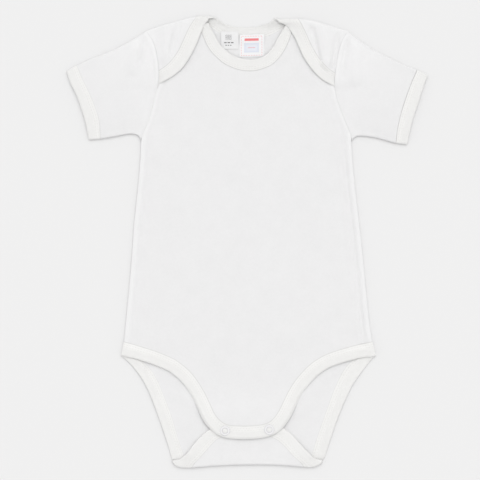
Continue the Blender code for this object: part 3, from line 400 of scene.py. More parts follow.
# ---------------------------------------------------------------- how finely the walls are divided
COLUMNS = 84            # squares across a panel
EDGE_STEPS = (0.0, 0.5, 1.1, 1.9, 2.9, 4.1, 5.5, 7.2, 9.3, 12.0)  # the outer columns' distances from an edge
LAP_COLUMN = 31         # column of the back panel where the neck binding crosses a shoulder
NECK_COLUMN = 17        # column of the front panel where its neckline starts
FOLD_STEPS = 14
HIP_Y, ARM_Y = -99.5, 106.0
MITRE = 0.87            # from here to the hip, the front's leg rows turn into its body rows
MITRE_RISE = 9.6        # and the body rows rise by this at the hip, to meet them
SLEEVE_DRAW = (1.8, -1.15)      # a sleeve's folds at the top and the underarm draw its armhole down by this
SLEEVE_LENGTH = 68.0    # from armhole to cuff, about
TUBE_FOLD_STEPS = 10
BAND_STEP_LENGTH = 1.5  # between two stations of a binding
STITCH_SHARES = (0.18, 0.35)    # how far across a binding its two rows of stitches run
STITCH_LOWEST = 0.1     # no stitch goes lower than this, so that it stays above the floor
BAND_WIDTH = 12.0       # of a binding, about
FLAP_SPLIT = 0.52       # how far along a flap's seam its last row reaches
# Points across a binding and a cuff, closest at the seam, at the stitches and at the free edge.
BAND_SHARES = (0.0, 0.03, 0.06, 0.1, 0.145, 0.18, 0.215, 0.25, 0.285, 0.315, 0.35, 0.385, 0.42, 0.47,
               0.55, 0.65, 0.75, 0.84, 0.9, 0.94, 0.97, 0.99, 1.0)
CUFF_SHARES = (0.0, 0.03, 0.06, 0.12, 0.18, 0.23, 0.29, 0.35, 0.41, 0.48, 0.57, 0.67, 0.76, 0.84,
               0.91, 0.96, 0.99, 1.0)


def evenly(count, start, end):
    return [mix(start, end, i / count) for i in range(count + 1)]


BACK_FOOT_Y = -219.5    # lowest row of the back's floor layer
LEG_ROWS = evenly(39, BACK_FOOT_Y, -102.5)
TORSO_ROWS = evenly(67, HIP_Y, 101.5)
ARM_ROWS = evenly(33, ARM_Y, 205.0) + [206.3]
# Rows of the back panel from the tab's end to the flaps' seams, each a stretch and a station on it.
BACK_ROWS = (
    [('tab', up) for up in [1.0, 0.98] + evenly(10, 0.94, 0.0)[:-1]]
    + [('bottom turn', angle) for angle in evenly(FOLD_STEPS, math.pi, 0.0)]
    + [('leg', y) for y in LEG_ROWS]
    + [('body', y) for y in TORSO_ROWS]
    + [('arm', y) for y in ARM_ROWS]
    + [('shoulder turn', angle) for angle in evenly(FOLD_STEPS, 0.0, math.pi)]
    + [('flap', down) for down in evenly(14, 0.0, 0.96)[1:] + [0.985, 1.0]]
)
FRONT_ROWS = (
    [('leg', up) for up in [0.0, 0.006, 0.016] + evenly(34, 0.03, 1.0)[:-1]]
    + [('body', y) for y in TORSO_ROWS]
    + [('arm', y) for y in ARM_ROWS]
    + [('top', 0.0)]
)
NECK_ROW = BACK_ROWS.index(('shoulder turn', 0.0))
LAP_COLUMNS = {LEFT: LAP_COLUMN, RIGHT: COLUMNS - LAP_COLUMN}

tab_side = {side: route(TAB_SIDE[side]) for side in (LEFT, RIGHT)}
tab_end = route(TAB_END)
tab_edge = route(TAB_EDGE)
front_leg = {side: route(FRONT_LEG[side]) for side in (LEFT, RIGHT)}
front_tab = route(FRONT_TAB)
front_neck_seam = route(FRONT_NECK_SEAM)
flap_edge = {side: route(FLAP_EDGE[side]) for side in (LEFT, RIGHT)}


# ---------------------------------------------------------------- settings
def length(name, description, default):
    """A length setting, its default in millimetres."""
    return FloatProperty(name=name, description=description, default=default * MM, min=0.0, precision=5,
                         unit='LENGTH')


def tint(name, description, default):
    return FloatVectorProperty(name=name, description=description, default=default, min=0.0, max=1.0,
                               subtype='COLOR')


class BodysuitSizes(bpy.types.PropertyGroup):
    """Thicknesses, relief, sewing and knit of the bodysuit."""

    cloth: length("Cloth", "Thickness of the body and sleeve cloth", 1.0)
    binding: length("Binding", "Thickness of the folded band along the neck and leg edges", 1.8)
    cuff: length("Cuff", "Thickness of the folded band round a sleeve", 1.5)
    ripple: length("Ripple", "Height of the slight waves in the upper layers", 0.35)
    seam_ridge: length("Seam ridge", "Height of the ridge over a seam's turned-in edge", 0.95)
    stitch_pitch: length("Stitch pitch", "From one stitch to the next", 2.9)
    stitch_length: length("Stitch length", "Length of thread that shows in one stitch", 2.2)
    thread: length("Thread", "Thickness of the sewing thread", 0.42)
    wale: length("Wale", "Width of one knitted column", 1.05)


class BodysuitColours(bpy.types.PropertyGroup):
    """Colours of the bodysuit's cloth, thread, studs and labels."""

    body: tint("Body", "Cotton jersey of the panels and sleeves", (0.815, 0.812, 0.814))
    binding: tint("Binding", "Rib of the bindings and cuffs", (0.825, 0.8205, 0.8085))
    # Darker than the binding: painted shade of the grooves that the stitches sink into.
    thread: tint("Thread", "Sewing thread", (0.76, 0.75, 0.73))
    stud: tint("Stud", "Enamel of the press studs", (0.76, 0.755, 0.755))
    # Along a ring's edges: partly a lilac tint and partly painted shade where the ring meets the cloth.
    stud_edge: tint("Stud edge", "Enamel along the edges of a stud's ring", (0.50, 0.49, 0.59))
    label: tint("Label", "Satin of the labels", (0.86, 0.862, 0.868))
    ink: tint("Ink", "Woven marks of the small label", (0.035, 0.035, 0.04))
    red: tint("Red", "Woven border and bar of the square label", (0.80, 0.085, 0.10))
    blue: tint("Blue", "Woven field of the square label", (0.66, 0.70, 0.80))


class BodysuitStage(bpy.types.PropertyGroup):
    """Floor, light and camera."""

    floor_width: FloatProperty(name="Floor width", description="Side of the square floor", default=3.0,
                               min=1.0, unit='LENGTH')
    floor: tint("Floor", "Colour of the floor", (0.745, 0.7435, 0.7435))
    sun: FloatProperty(name="Sun", description="Strength of the soft light from beyond the neck",
                       default=1.17, min=0.0)
    sky: FloatProperty(name="Sky", description="Strength of the even light all round", default=0.84, min=0.0)
    camera_height: FloatProperty(name="Camera height", description="From the floor to the camera",
                                 default=2.0, min=0.5, unit='LENGTH')
    view_width: FloatProperty(name="View width", description="Width of floor that the camera sees",
                              default=0.48, min=0.1, unit='LENGTH')
    view_centre: FloatVectorProperty(name="View centre", description="Point of the floor under the camera",
                                     default=(-0.007, 0.002), size=2, unit='LENGTH')


# ---------------------------------------------------------------- small relief
def bump(distance, width):
    """1 on a line, falling softly with the distance from it."""
    return math.exp(-(distance / width) ** 2)


def wave(x, y, size, seed):
    """Slight uneven waves of about that size, from -1 to 1."""
    return noise.noise(Vector((x / size, y / size, seed)))


def stud_press(x, y):
    """1 where a stud's ring presses the cloth down, fading out round it."""
    return swell((x, y), STUD_PLACES[side_of(x)], 8.5, 5.0)


def flat_lift(_x, _y, _part):
    """A binding that doesn't stand off what it lies on."""
    return 0.0


def flap_lift(x, y, part):
    """A flap's binding curls up off the front, least at the armhole and at the neck."""
    free = ease(y, 157.0, 173.0) * ease(math.dist((x, y), NECK_CORNER[side_of(x)]), -6.0, 12.0)
    return FLAP_CURL * free * soft(part) * (1 + 0.25 * wave(x, y, 14.0, 61.0))


def crotch_lift(x, y, part):
    """The front tab's binding hangs down past its studs, and further beside the turned-up tab."""
    beside_tab = TAB_HANG * ease(abs(x), 26.0, 40.0)
    return -(CROTCH_HANG + beside_tab) * ease(part, 0.8, 1.0) * ease(y, -138.0, -160.0)


def leg_edge_lift(y, part):
    """The free edge of the back leg binding stands off the surface, but for its ends."""
    return LEG_EDGE_RISE * ease(part, 0.55, 1.0) * ease(y, -212.0, -198.0) * ease(y, -122.0, -134.0)


def band_thin(part):
    """How much thinner a binding is there: along its free edge and under its two rows of stitches."""
    stitches = STITCH_DENT * sum(bump(part - share, 0.03) for share in STITCH_SHARES)
    rolled = max((part - 0.86) / 0.14, 0.0)
    edge = EDGE_ROLL * (1 - math.sqrt(max(1 - rolled * rolled, 0.0)))
    return stitches + edge + 0.08 * bump(part - 0.68, 0.12)


def band_paling_and_groove_shade(part):
    """Above 0 where a band's edge is turned in under its stitches, and -1 along its seam:
    painted shade in the groove there.
    """
    return -1.0 if part < 0.05 else 0.8 * ease(part, 0.46, 0.38)


def single(_column, _row):
    """A wall with no seam edge turned in under it."""
    return 0.0


def seam_paling(inset, width):
    """How much a panel pales over the turned-in edge of a seam, by the distance from that seam."""
    return soft(1.9 - inset / width)


# ---------------------------------------------------------------- where columns and rows lie
def step_share(steps, width, count):
    """How far along a stretch a step lies, with EDGE_STEPS at its start and even steps after them."""
    last = len(EDGE_STEPS) - 1
    if steps <= last:
        return EDGE_STEPS[steps] / width
    return mix(EDGE_STEPS[last] / width, 1.0, (steps - last) / (count - last))


def share(column, width):
    """How far across a panel of that width a column lies: close by both edges, even between them."""
    near = min(column, COLUMNS - column)
    part = step_share(near, width / 2, COLUMNS / 2) / 2
    return part if column == near else 1 - part


def across(column, left, right, left_in=(1.0, 0.0), right_in=(-1.0, 0.0)):
    """Point of a row: the outer columns step inwards from its ends, and the rest lie evenly between."""
    last = len(EDGE_STEPS) - 1
    near = min(column, COLUMNS - column)
    ends = []
    for point, inwards in ((left, left_in), (right, right_in)):
        ends.append([p + EDGE_STEPS[min(near, last)] * d for p, d in zip(point, inwards)])
    return mix_points(*ends, min(max((column - last) / (COLUMNS - 2 * last), 0.0), 1.0))


def patch(near, far, top, bottom):
    """A four-sided patch: along runs from the near line to the far one, down from the top to the bottom."""
    def at(along, down):
        point = []
        for axis in (0, 1):
            between_ends = mix(near(down)[axis], far(down)[axis], along)
            between_sides = mix(top(along)[axis], bottom(along)[axis], down)
            near_corners = mix(near(0.0)[axis], near(1.0)[axis], down)
            far_corners = mix(far(0.0)[axis], far(1.0)[axis], down)
            point.append(between_ends + between_sides - mix(near_corners, far_corners, along))
        return point
    return at


def which_side(column):
    return LEFT if column <= COLUMNS / 2 else RIGHT


def in_neckline(column):
    """True for the columns of the back panel that end at the neckline, between its two flaps."""
    return LAP_COLUMN < column < COLUMNS - LAP_COLUMN


def body_side(side, y):
    """Point of the side seam or armhole on one side."""
    return body_edge(y)[0 if side == LEFT else 1], y


def hip_lift(y):
    """How far the front's body rows rise between the side seams, to meet its leg rows in a mitre."""
    return MITRE_RISE * ease(y, -47.5, HIP_Y) ** 1.2


def body_row(column, y, lift=0.0):
    """Point on a row between the side seams or armholes; lift raises all but its ends."""
    slope = lift / EDGE_STEPS[-1]
    return across(column, body_side(LEFT, y), body_side(RIGHT, y), (1.0, slope), (-1.0, slope))


def arm_row(column, y, top):
    """Point on a row of the armhole stretch, whose rows bend until the last follows the panel's top."""
    tip_y = top(0 if which_side(column) == LEFT else COLUMNS)[1]
    up = (y - ARM_Y) / (tip_y - ARM_Y)
    top_x, top_y = top(column)
    row_y = mix(ARM_Y, top_y, up)
    return body_row(column, row_y)[0] + up * up * (top_x - body_row(column, top_y)[0]), row_y


def tab_point(column, up):
    """Point of the turned-up tab, from the bottom fold (up 0) to its end seam (up 1)."""
    point = across(column, tab_side[LEFT](up), tab_side[RIGHT](up))
    ends = tab_side[LEFT](1.0), tab_side[RIGHT](1.0)
    end = tab_end(share(column, math.dist(*ends)))
    return [p + up * (e - f) for p, e, f in zip(point, end, across(column, *ends))]


def front_leg_point(column, up):
    """Point of the front below the hips, from the tab's bottom (up 0) to the hip row (up 1)."""
    def row(station):
        points, inwards = [], []
        mitre = max((station - MITRE) / (1 - MITRE), 0.0)
        for side in (LEFT, RIGHT):
            start, end = front_leg[side](station - 0.02), front_leg[side](station + 0.02)
            along = Vector((end[0] - start[0], end[1] - start[1])).normalized()
            points.append(front_leg[side](station))
            square = -side * along.y, side * along.x
            inwards.append(mix_points(square, (-side, hip_lift(HIP_Y) / EDGE_STEPS[-1]), mitre))
        return across(column, *points, *inwards)

    bottom = front_tab(share(column, math.dist(front_leg[LEFT](0.0), front_leg[RIGHT](0.0))))
    inwards = soft(2 * min(column, COLUMNS - column) / COLUMNS)
    sag = (1 - up) ** mix(7.0, 1.6, inwards)
    return [p + sag * (b - f) for p, b, f in zip(row(up), bottom, row(0.0))]


def below_leg(side, y):
    """How far y is below the back leg's table: 0 down to its lowest row, 1 at the bottom fold."""
    lowest = BACK_LEG[side][0][0]
    fold_y = BOTTOM_FOLD[1][1] + 1.2
    return max((lowest - y) / (lowest - fold_y), 0.0)


def back_leg_seam(side, y):
    """x of the back leg seam, carried on below its table to where it crosses the bottom fold."""
    return mix(back_leg[side](y)[0], FOLD_SEAM_X[side][0], below_leg(side, y))


def back_leg_edge(side, y):
    """The same for the free edge of the back leg binding: x and y."""
    corner_x, corner_y = BOTTOM_CORNER[side]
    return mix_points(back_leg[side](y)[1:], (corner_x, corner_y + 1.4), below_leg(side, y))


def along_route(line, start=0.0, end=1.0):
    """Points of a route between two fractions, about a station's length apart."""
    rough = [line(mix(start, end, i / 20)) for i in range(21)]
    reach = sum(math.dist(a, b) for a, b in zip(rough, rough[1:]))
    return [line(part) for part in evenly(max(round(reach / BAND_STEP_LENGTH), 2), start, end)]


def moved_out(seam, width, first_edge=None, last_edge=None):
    """The free edge of a band of that width, on the right-hand side of its seam's direction."""
    last, reach = len(seam) - 1, 4
    edge = []
    for i, point in enumerate(seam):
        before, after = seam[max(i - reach, 0)], seam[min(i + reach, last)]
        along = Vector((after[0] - before[0], after[1] - before[1])).normalized()
        edge.append((point[0] + along.y * width, point[1] - along.x * width))
    for end, corner in ((0, first_edge), (last, last_edge)):
        if corner:
            shift = [c - p for c, p in zip(corner, edge[end])]
            edge = [[p + s * ease(abs(i - end), 12, 0) for p, s in zip(point, shift)]
                    for i, point in enumerate(edge)]
    return edge


def turned_over(x, edge_y, outward, angle, top, thickness, inner, thin=0.0):
    """Point of a wall that turns over at edge_y: angle 0 on the surface, pi on the layer that reaches top.

    outward is 1 where the turn faces the neck and -1 where it faces the crotch. thin takes the wall's
    upper side down, as along a band's edges.
    """
    outer = top / 2
    turn = angle / math.pi
    radius = outer - thickness + thin * (1 - turn) if inner else outer - thin * turn
    return x, edge_y + outward * (radius * math.sin(angle) - outer), outer - radius * math.cos(angle)


def layer_point(x, y, under, thickness, inner, top=None, upper=True, thin=0.0):
    """Point of a wall that lies on a layer: upper walls have their right side up, floor walls down."""
    if not upper:
        return x, y, thickness - thin if inner else 0.0
    return x, y, under if inner else (under + thickness - thin if top is None else top)


# A place along a binding: its seam point and free edge point in plan, the layer that it lies on (floor, upper
# or turn), how far it has turned over, and whether it faces the neck (1), the crotch (-1) or neither (0).
Station = namedtuple("Station", "seam edge layer angle outward")


def beside(seam, edge, layer, outward):
    """Stations of a band whose free edge keeps pace with its seam."""
    return [Station(point, edge(i / (len(seam) - 1)), layer, 0.0, outward) for i, point in enumerate(seam)]


def turn_stations(seam_x, edge_x, start, end, outward):
    """Stations of a band that turns over, from one angle to another; the fold's line gives their y."""
    return [Station((mix(*seam_x, angle / math.pi), 0.0), (mix(*edge_x, angle / math.pi), 0.0), 'turn',
                    angle, outward) for angle in evenly(FOLD_STEPS, start, end)]


class Layout:
    """Where every layer of the bodysuit lies, in millimetres, for the sizes that are set."""

    def __init__(self, sizes):
        self.cloth = sizes.cloth / MM
        self.binding = sizes.binding / MM
        self.cuff = sizes.cuff / MM
        self.ripple = sizes.ripple / MM
        self.ridge = sizes.seam_ridge / MM
        self.step = self.binding - self.cloth
        lap = {side: self.lap_point(LAP_COLUMNS[side], 1.0) for side in (LEFT, RIGHT)}
        self.flap_seam = {side: route([*FLAP_SEAM[side], lap[side]]) for side in (LEFT, RIGHT)}
        crossings = [self.lap_point(LAP_COLUMNS[side], 0.0) for side in (LEFT, RIGHT)]
        self.back_neck_seam = route([crossings[0], *BACK_NECK_SEAM, crossings[1]])
        ends = [(x, shoulder_y(x) - self.flap_turn(x)) for x in (LAP_EDGE_X[LEFT][0], LAP_EDGE_X[RIGHT][0])]
        self.back_neck_edge = route([ends[0], *BACK_NECK_EDGE, ends[1]])

    # ------------------------------------------------ heights
    def front_under(self, x, y):
        """Underside of the front: on the back, lifted at the neckline and over the studs, crowned between."""
        inset = side_inset(x, y)
        crown = ease(inset, 0.0, 50.0) * ease(y, -160.0, -70.0) * ease(y, 175.0, 105.0)
        neck = swell((x, y), (0.0, 212.0), 85.0, 50.0)
        crotch = ease(y, -148.0, -180.0)
        ripple = self.ripple * (0.5 + 0.5 * wave(x, y, 26.0, 3.1) + 0.3 * wave(x, y, 11.0, 7.7))
        ripple *= ease(inset, 0.0, 12.0) * ease(y, -175.0, -145.0)
        seam = -GAP * ease(inset, 2.5, 0.0) * ease(y, 112.0, 100.0)
        return (self.cloth + GAP + TORSO_CROWN * crown + NECK_RISE * neck + seam
                + (self.binding + STUD_HEIGHT + 2 * GAP) * crotch + ripple + fold_height(x, y, FRONT_FOLDS))

    def front_top(self, x, y):
        """Outer side of the front: a ridge and a trough inside the side seam, a low welt at the armhole."""
        left, right = body_edge(y)
        side = LEFT if x - left < right - x else RIGHT
        inset = side_inset(x, y)
        uneven = 1 + 0.35 * wave(0.0, y, 30.0, 5.0 * side)
        ridge = self.ridge * ease(inset, 6.4, 3.2) - SIDE_TROUGH[side] * uneven * bump(inset - 8.6, 2.8)
        welt = ARM_WELT * ease(inset, 4.8, 2.4) - 0.25 * bump(inset - 6.6, 2.0) - 0.2 * ease(inset, 0.8, 0.0)
        return self.front_under(x, y) + self.cloth + mix(welt, ridge, ease(y, 112.0, 100.0))

    def front_neck_under(self, x, y):
        return self.front_under(x, y) + GAP

    def front_leg_under(self, x, y):
        """Underside of the front leg binding: as the front, lifted over the back leg binding at the hips."""
        return self.front_under(x, y) + self.step * swell((x, y), HIP_CORNER[side_of(x)], 42.0, 22.0)

    def flap_base(self, x, y, rise):
        """What a flap lies on: the front, and near the neck its binding, over which it is lifted."""
        lap = rise * swell((x, y), NECK_CORNER[side_of(x)], 42.0, 15.0)
        return self.front_under(x, y) + self.cloth + GAP + lap

    def flap_under(self, x, y):
        """Underside of a shoulder flap, with its folds."""
        folds = max(fold_height(x, y, FLAP_FOLDS), DEEPEST_FOLD)
        return self.flap_base(x, y, LAP_RISE + self.step) + folds

    def flap_top(self, x, y):
        """Outer side of a flap, rolled down where the sleeve is sewn to it."""
        inset = side_inset(x, y)
        welt = ARM_WELT * ease(inset, 4.5, 1.5) - 0.25 * ease(inset, 1.0, 0.0)
        return self.flap_under(x, y) + self.cloth + welt

    def flap_band_under(self, x, y):
        """Underside of the binding along a flap, which is too stiff to follow the flap's folds."""
        return self.flap_base(x, y, LAP_RISE)

    def tab_lift(self, x, y):
        """1 at the bottom corners, where the tab lies on its binding's floor stretch, fading to 0."""
        return swell((x, y), BOTTOM_CORNER[side_of(x)], 46.0, 25.0)

    def tab_under(self, x, y):
        """Underside of the tab: it springs up along its fold, and lies on the binding at the corners."""
        lift = self.tab_lift(x, y)
        spring = TAB_SPRING * ease(y - bottom_fold(x)[0], 24.0, 0.0)
        return self.cloth + 2 * GAP + mix(spring, 2 * self.step + TAB_CLEARANCE - GAP, lift)

    def tab_top(self, x, y):
        return self.tab_under(x, y) + self.cloth

    def tab_band_under(self, x, y):
        return self.cloth + GAP + (self.step + TAB_CLEARANCE) * self.tab_lift(x, y)

    def sleeve_under(self, side, along, down, x, y):
        """Underside of a sleeve's upper wall; along runs from armhole to cuff, down from top to underarm."""
        at_armhole = self.cloth + GAP + (self.cloth + GAP) * ease(y, 151.0, 160.0)
        at_cuff = self.cuff + GAP
        middle = soft(12 * down) * soft(9 * (1 - down)) * soft(along * 14)
        crown = SLEEVE_CROWN * soft(4 * down * (1 - down))
        crown *= (1 - 0.75 * soft(along)) * soft(along * 6 + 0.15)
        folds = fold_height(x, y, SLEEVE_FOLDS) * middle
        ripple = self.ripple * (0.4 + 0.6 * wave(x, y, 17.0, 11.0)) * middle * soft(along * 8)
        fullness = 0.5 * ease(down, 0.7, 1.0)
        return max(mix(at_armhole, at_cuff, soft(along)) + crown + folds + ripple + fullness,
                   self.cloth + GAP)

    # ------------------------------------------------ the back panel
    @lru_cache(maxsize=None)
    def flap_turn(self, x):
        """Half the height of the garment where a flap turns over."""
        return (self.flap_under(x, shoulder_y(x) - 3.0) + self.cloth) / 2

    @lru_cache(maxsize=None)
    def bottom_turn(self, x):
        return (self.tab_under(x, bottom_fold(x)[0] + 2.0) + self.cloth) / 2

    @lru_cache(maxsize=None)
    def shoulder_tip(self, side):
        """Where the armhole meets the shoulder's turn."""
        x = body_side(side, BODY_EDGE[-1][0])[0]
        return body_side(side, shoulder_y(x) - self.flap_turn(x))

    @lru_cache(maxsize=None)
    def lap_x(self, column, turn):
        """x of a flap's column where it turns over; turn runs from 0 on the floor to 1 on the flap."""
        side, near = which_side(column), min(column, COLUMNS - column)
        tip = self.shoulder_tip(side)[0] + side * TIP_FLARE * math.sin(math.pi * turn)
        lap = mix(*LAP_SEAM_X[side], turn)
        return mix(tip, lap, step_share(near, abs(lap - tip), LAP_COLUMN))

    @lru_cache(maxsize=None)
    def lap_point(self, column, turn):
        """Point of a flap's column where the turn starts (0) or ends (1)."""
        x = self.lap_x(column, turn)
        return x, shoulder_y(x) - self.flap_turn(x)

    @lru_cache(maxsize=None)
    def back_top(self, column):
        """Top row of the back's floor layer: where it starts to turn over, and the neckline between."""
        if in_neckline(column):
            return self.back_neck_seam((column - LAP_COLUMN) / (COLUMNS - 2 * LAP_COLUMN))
        return self.lap_point(column, 0.0)

    def flap_point(self, column, down):
        """Point of a flap, from the end of its turn (down 0) to its seam (down 1)."""
        side = which_side(column)
        tip, lap = self.shoulder_tip(side), self.lap_point(LAP_COLUMNS[side], 1.0)
        foot_y = FLAP_SEAM[side][0][1]
        surface = patch(lambda v: body_side(side, mix(tip[1], foot_y, v)),
                        lambda v: self.flap_seam[side](mix(1.0, FLAP_SPLIT, v)),
                        lambda u: (mix(tip[0], lap[0], u), mix(tip[1], lap[1], u)),
                        lambda u: self.flap_seam[side](FLAP_SPLIT * u))
        along = (self.lap_x(column, 1.0) - tip[0]) / (lap[0] - tip[0])
        point = surface(along, down)
        bow = self.lap_point(column, 1.0)[1] - mix(tip[1], lap[1], along)
        return point[0], point[1] + bow * (1 - down)

    @lru_cache(maxsize=None)
    def back_plan(self, column, row):
        """Where a column meets a row of the back in plan; on a turn, y is that of its outer edge."""
        stretch, station = BACK_ROWS[row]
        if stretch == 'tab':
            return tab_point(column, station)
        if stretch == 'bottom turn':
            seams = [mix(*FOLD_SEAM_X[side], station / math.pi) for side in (LEFT, RIGHT)]
            x = across(column, (seams[0], 0.0), (seams[1], 0.0))[0]
            return x, bottom_fold(x)[0]
        if stretch == 'leg':
            left, right = (back_leg_seam(side, station) for side in (LEFT, RIGHT))
            return across(column, (left, station), (right, station))
        if stretch == 'body':
            return body_row(column, station)
        if stretch == 'arm':
            return arm_row(column, station, self.back_top)
        if in_neckline(column):
            return self.back_top(column)
        if stretch == 'shoulder turn':
            x = self.lap_x(column, station / math.pi)
            return x, shoulder_y(x)
        return self.flap_point(column, station)

    def back_point(self, column, row, inner):
        stretch, station = BACK_ROWS[row]
        x, y = self.back_plan(column, row)
        if stretch == 'tab':
            return layer_point(x, y, self.tab_under(x, y), self.cloth, inner)
        if stretch == 'bottom turn':
            return turned_over(x, y, -1, station, 2 * self.bottom_turn(x), self.cloth, inner)
        if stretch == 'shoulder turn' and not in_neckline(column):
            return turned_over(x, y, 1, station, 2 * self.flap_turn(x), self.cloth, inner)
        if stretch == 'flap':
            return layer_point(x, y, self.flap_under(x, y), self.cloth, inner, top=self.flap_top(x, y))
        return layer_point(x, y, 0.0, self.cloth, inner, upper=False)

    def back_unrolled(self, column, row):
        """The same point on the flat cloth, before it is turned over at the shoulder and the crotch."""
        stretch, station = BACK_ROWS[row]
        x, y = self.back_plan(column, row)
        if stretch in ('tab', 'bottom turn'):
            radius = self.bottom_turn(x)
            start = bottom_fold(x)[0] + radius
            if stretch == 'tab':
                return x, start - math.pi * radius - (y - start)
            return x, start - station * radius
        if stretch in ('shoulder turn', 'flap') and not in_neckline(column):
            radius = self.flap_turn(x)
            start = shoulder_y(x) - radius
            if stretch == 'flap':
                return x, start + math.pi * radius + (start - y)
            return x, start + station * radius
        return x, y

    def back_doubled(self, column, row):
        """Above 0 on the flaps, which lie on two more layers of cloth."""
        on_flap = BACK_ROWS[row][0] in ('shoulder turn', 'flap') and not in_neckline(column)
        return 0.7 if on_flap else 0.0

    # ------------------------------------------------ the front panel
    @lru_cache(maxsize=None)
    def front_top_row(self, column):
        """Top row of the front: the two shoulder ends, just short of the shoulder fold, and the neckline."""
        side, near = which_side(column), min(column, COLUMNS - column)
        if near >= NECK_COLUMN:
            return front_neck_seam((column - NECK_COLUMN) / (COLUMNS - 2 * NECK_COLUMN))
        tip = self.shoulder_tip(side)
        tip = body_side(side, tip[1] - SHOULDER_END_GAP)
        corner = front_neck_seam(0.0 if side == LEFT else 1.0)
        part = step_share(near, abs(corner[0] - tip[0]), NECK_COLUMN)
        x = mix(tip[0], corner[0], part)
        line = shoulder_y(x) - self.flap_turn(x)
        corner_gap = shoulder_y(corner[0]) - self.flap_turn(corner[0]) - corner[1]
        return x, tip[1] if near == 0 else line - mix(SHOULDER_END_GAP, corner_gap, soft(part))

    @lru_cache(maxsize=None)
    def front_plan(self, column, row):
        stretch, station = FRONT_ROWS[row]
        if stretch == 'leg':
            return front_leg_point(column, station)
        if stretch == 'body':
            return body_row(column, station, hip_lift(station))
        if stretch == 'arm':
            return arm_row(column, station, self.front_top_row)
        return self.front_top_row(column)

    def front_point(self, column, row, inner):
        x, y = self.front_plan(column, row)
        dip = fold_height(x, y, FRONT_DIPS)
        return layer_point(x, y, self.front_under(x, y) + dip, self.cloth, inner,
                           top=self.front_top(x, y) + dip)

    def front_doubled(self, column, row):
        """1 along the side seams and armholes, as far as the seam's turned-in edge reaches."""
        x, y = self.front_plan(column, row)
        return seam_paling(side_inset(x, y), mix(3.2, 2.4, ease(y, 106.0, 114.0)))

    # ------------------------------------------------ the bindings' stations
    def front_neck_stations(self):
        seam = along_route(front_neck_seam, 1.0, 0.0)
        edge = moved_out(seam, FRONT_NECK_WIDTH, FRONT_NECK_END[RIGHT], FRONT_NECK_END[LEFT])
        return [Station(s, e, 'upper', 0.0, 0) for s, e in zip(seam, edge)]

    def back_neck_stations(self):
        """Left flap, over the shoulder, round the back neck, over the other shoulder, right flap."""
        def flap(side):
            return beside(along_route(self.flap_seam[side]), flap_edge[side], 'upper', 1)

        def turn(side, start, end):
            return turn_stations(LAP_SEAM_X[side], LAP_EDGE_X[side], start, end, 1)

        neck = beside(along_route(self.back_neck_seam), self.back_neck_edge, 'floor', 1)
        return (flap(LEFT) + turn(LEFT, math.pi, 0.0) + neck[1:-1]
                + turn(RIGHT, 0.0, math.pi) + flap(RIGHT)[::-1])

    def front_leg_stations(self):
        seam = (along_route(front_leg[LEFT], 1.0, 0.0)[:-1] + along_route(front_tab)
                + along_route(front_leg[RIGHT])[1:])
        edge = moved_out(seam, FRONT_LEG_WIDTH, HIP_CORNER[LEFT], HIP_CORNER[RIGHT])
        return [Station(s, e, 'upper', 0.0, 0) for s, e in zip(seam, edge)]

    def back_leg_stations(self):
        """Left leg edge, turned up with the tab, across the tab's end, and back up the right leg."""
        def leg(side):
            rows = evenly(80, BACK_FOOT_Y, HIP_Y)
            return [Station((back_leg_seam(side, y), y), back_leg_edge(side, y), 'floor', 0.0, -1)
                    for y in rows]

        def turn(side, start, end):
            return turn_stations(FOLD_SEAM_X[side], FOLD_EDGE_X[side], start, end, -1)

        seam = (along_route(tab_side[LEFT])[1:-1] + along_route(tab_end)
                + along_route(tab_side[RIGHT], 1.0, 0.0)[1:-1])
        paces = [0.0]
        for start, end in zip(seam, seam[1:]):
            paces.append(paces[-1] + math.dist(start, end))
        tab = [Station(point, tab_edge(mix(0.03, 0.97, pace / paces[-1])), 'upper', 0.0, -1)
               for point, pace in zip(seam, paces)]
        return (leg(LEFT)[::-1] + turn(LEFT, 0.0, math.pi) + tab
                + turn(RIGHT, math.pi, 0.0) + leg(RIGHT))


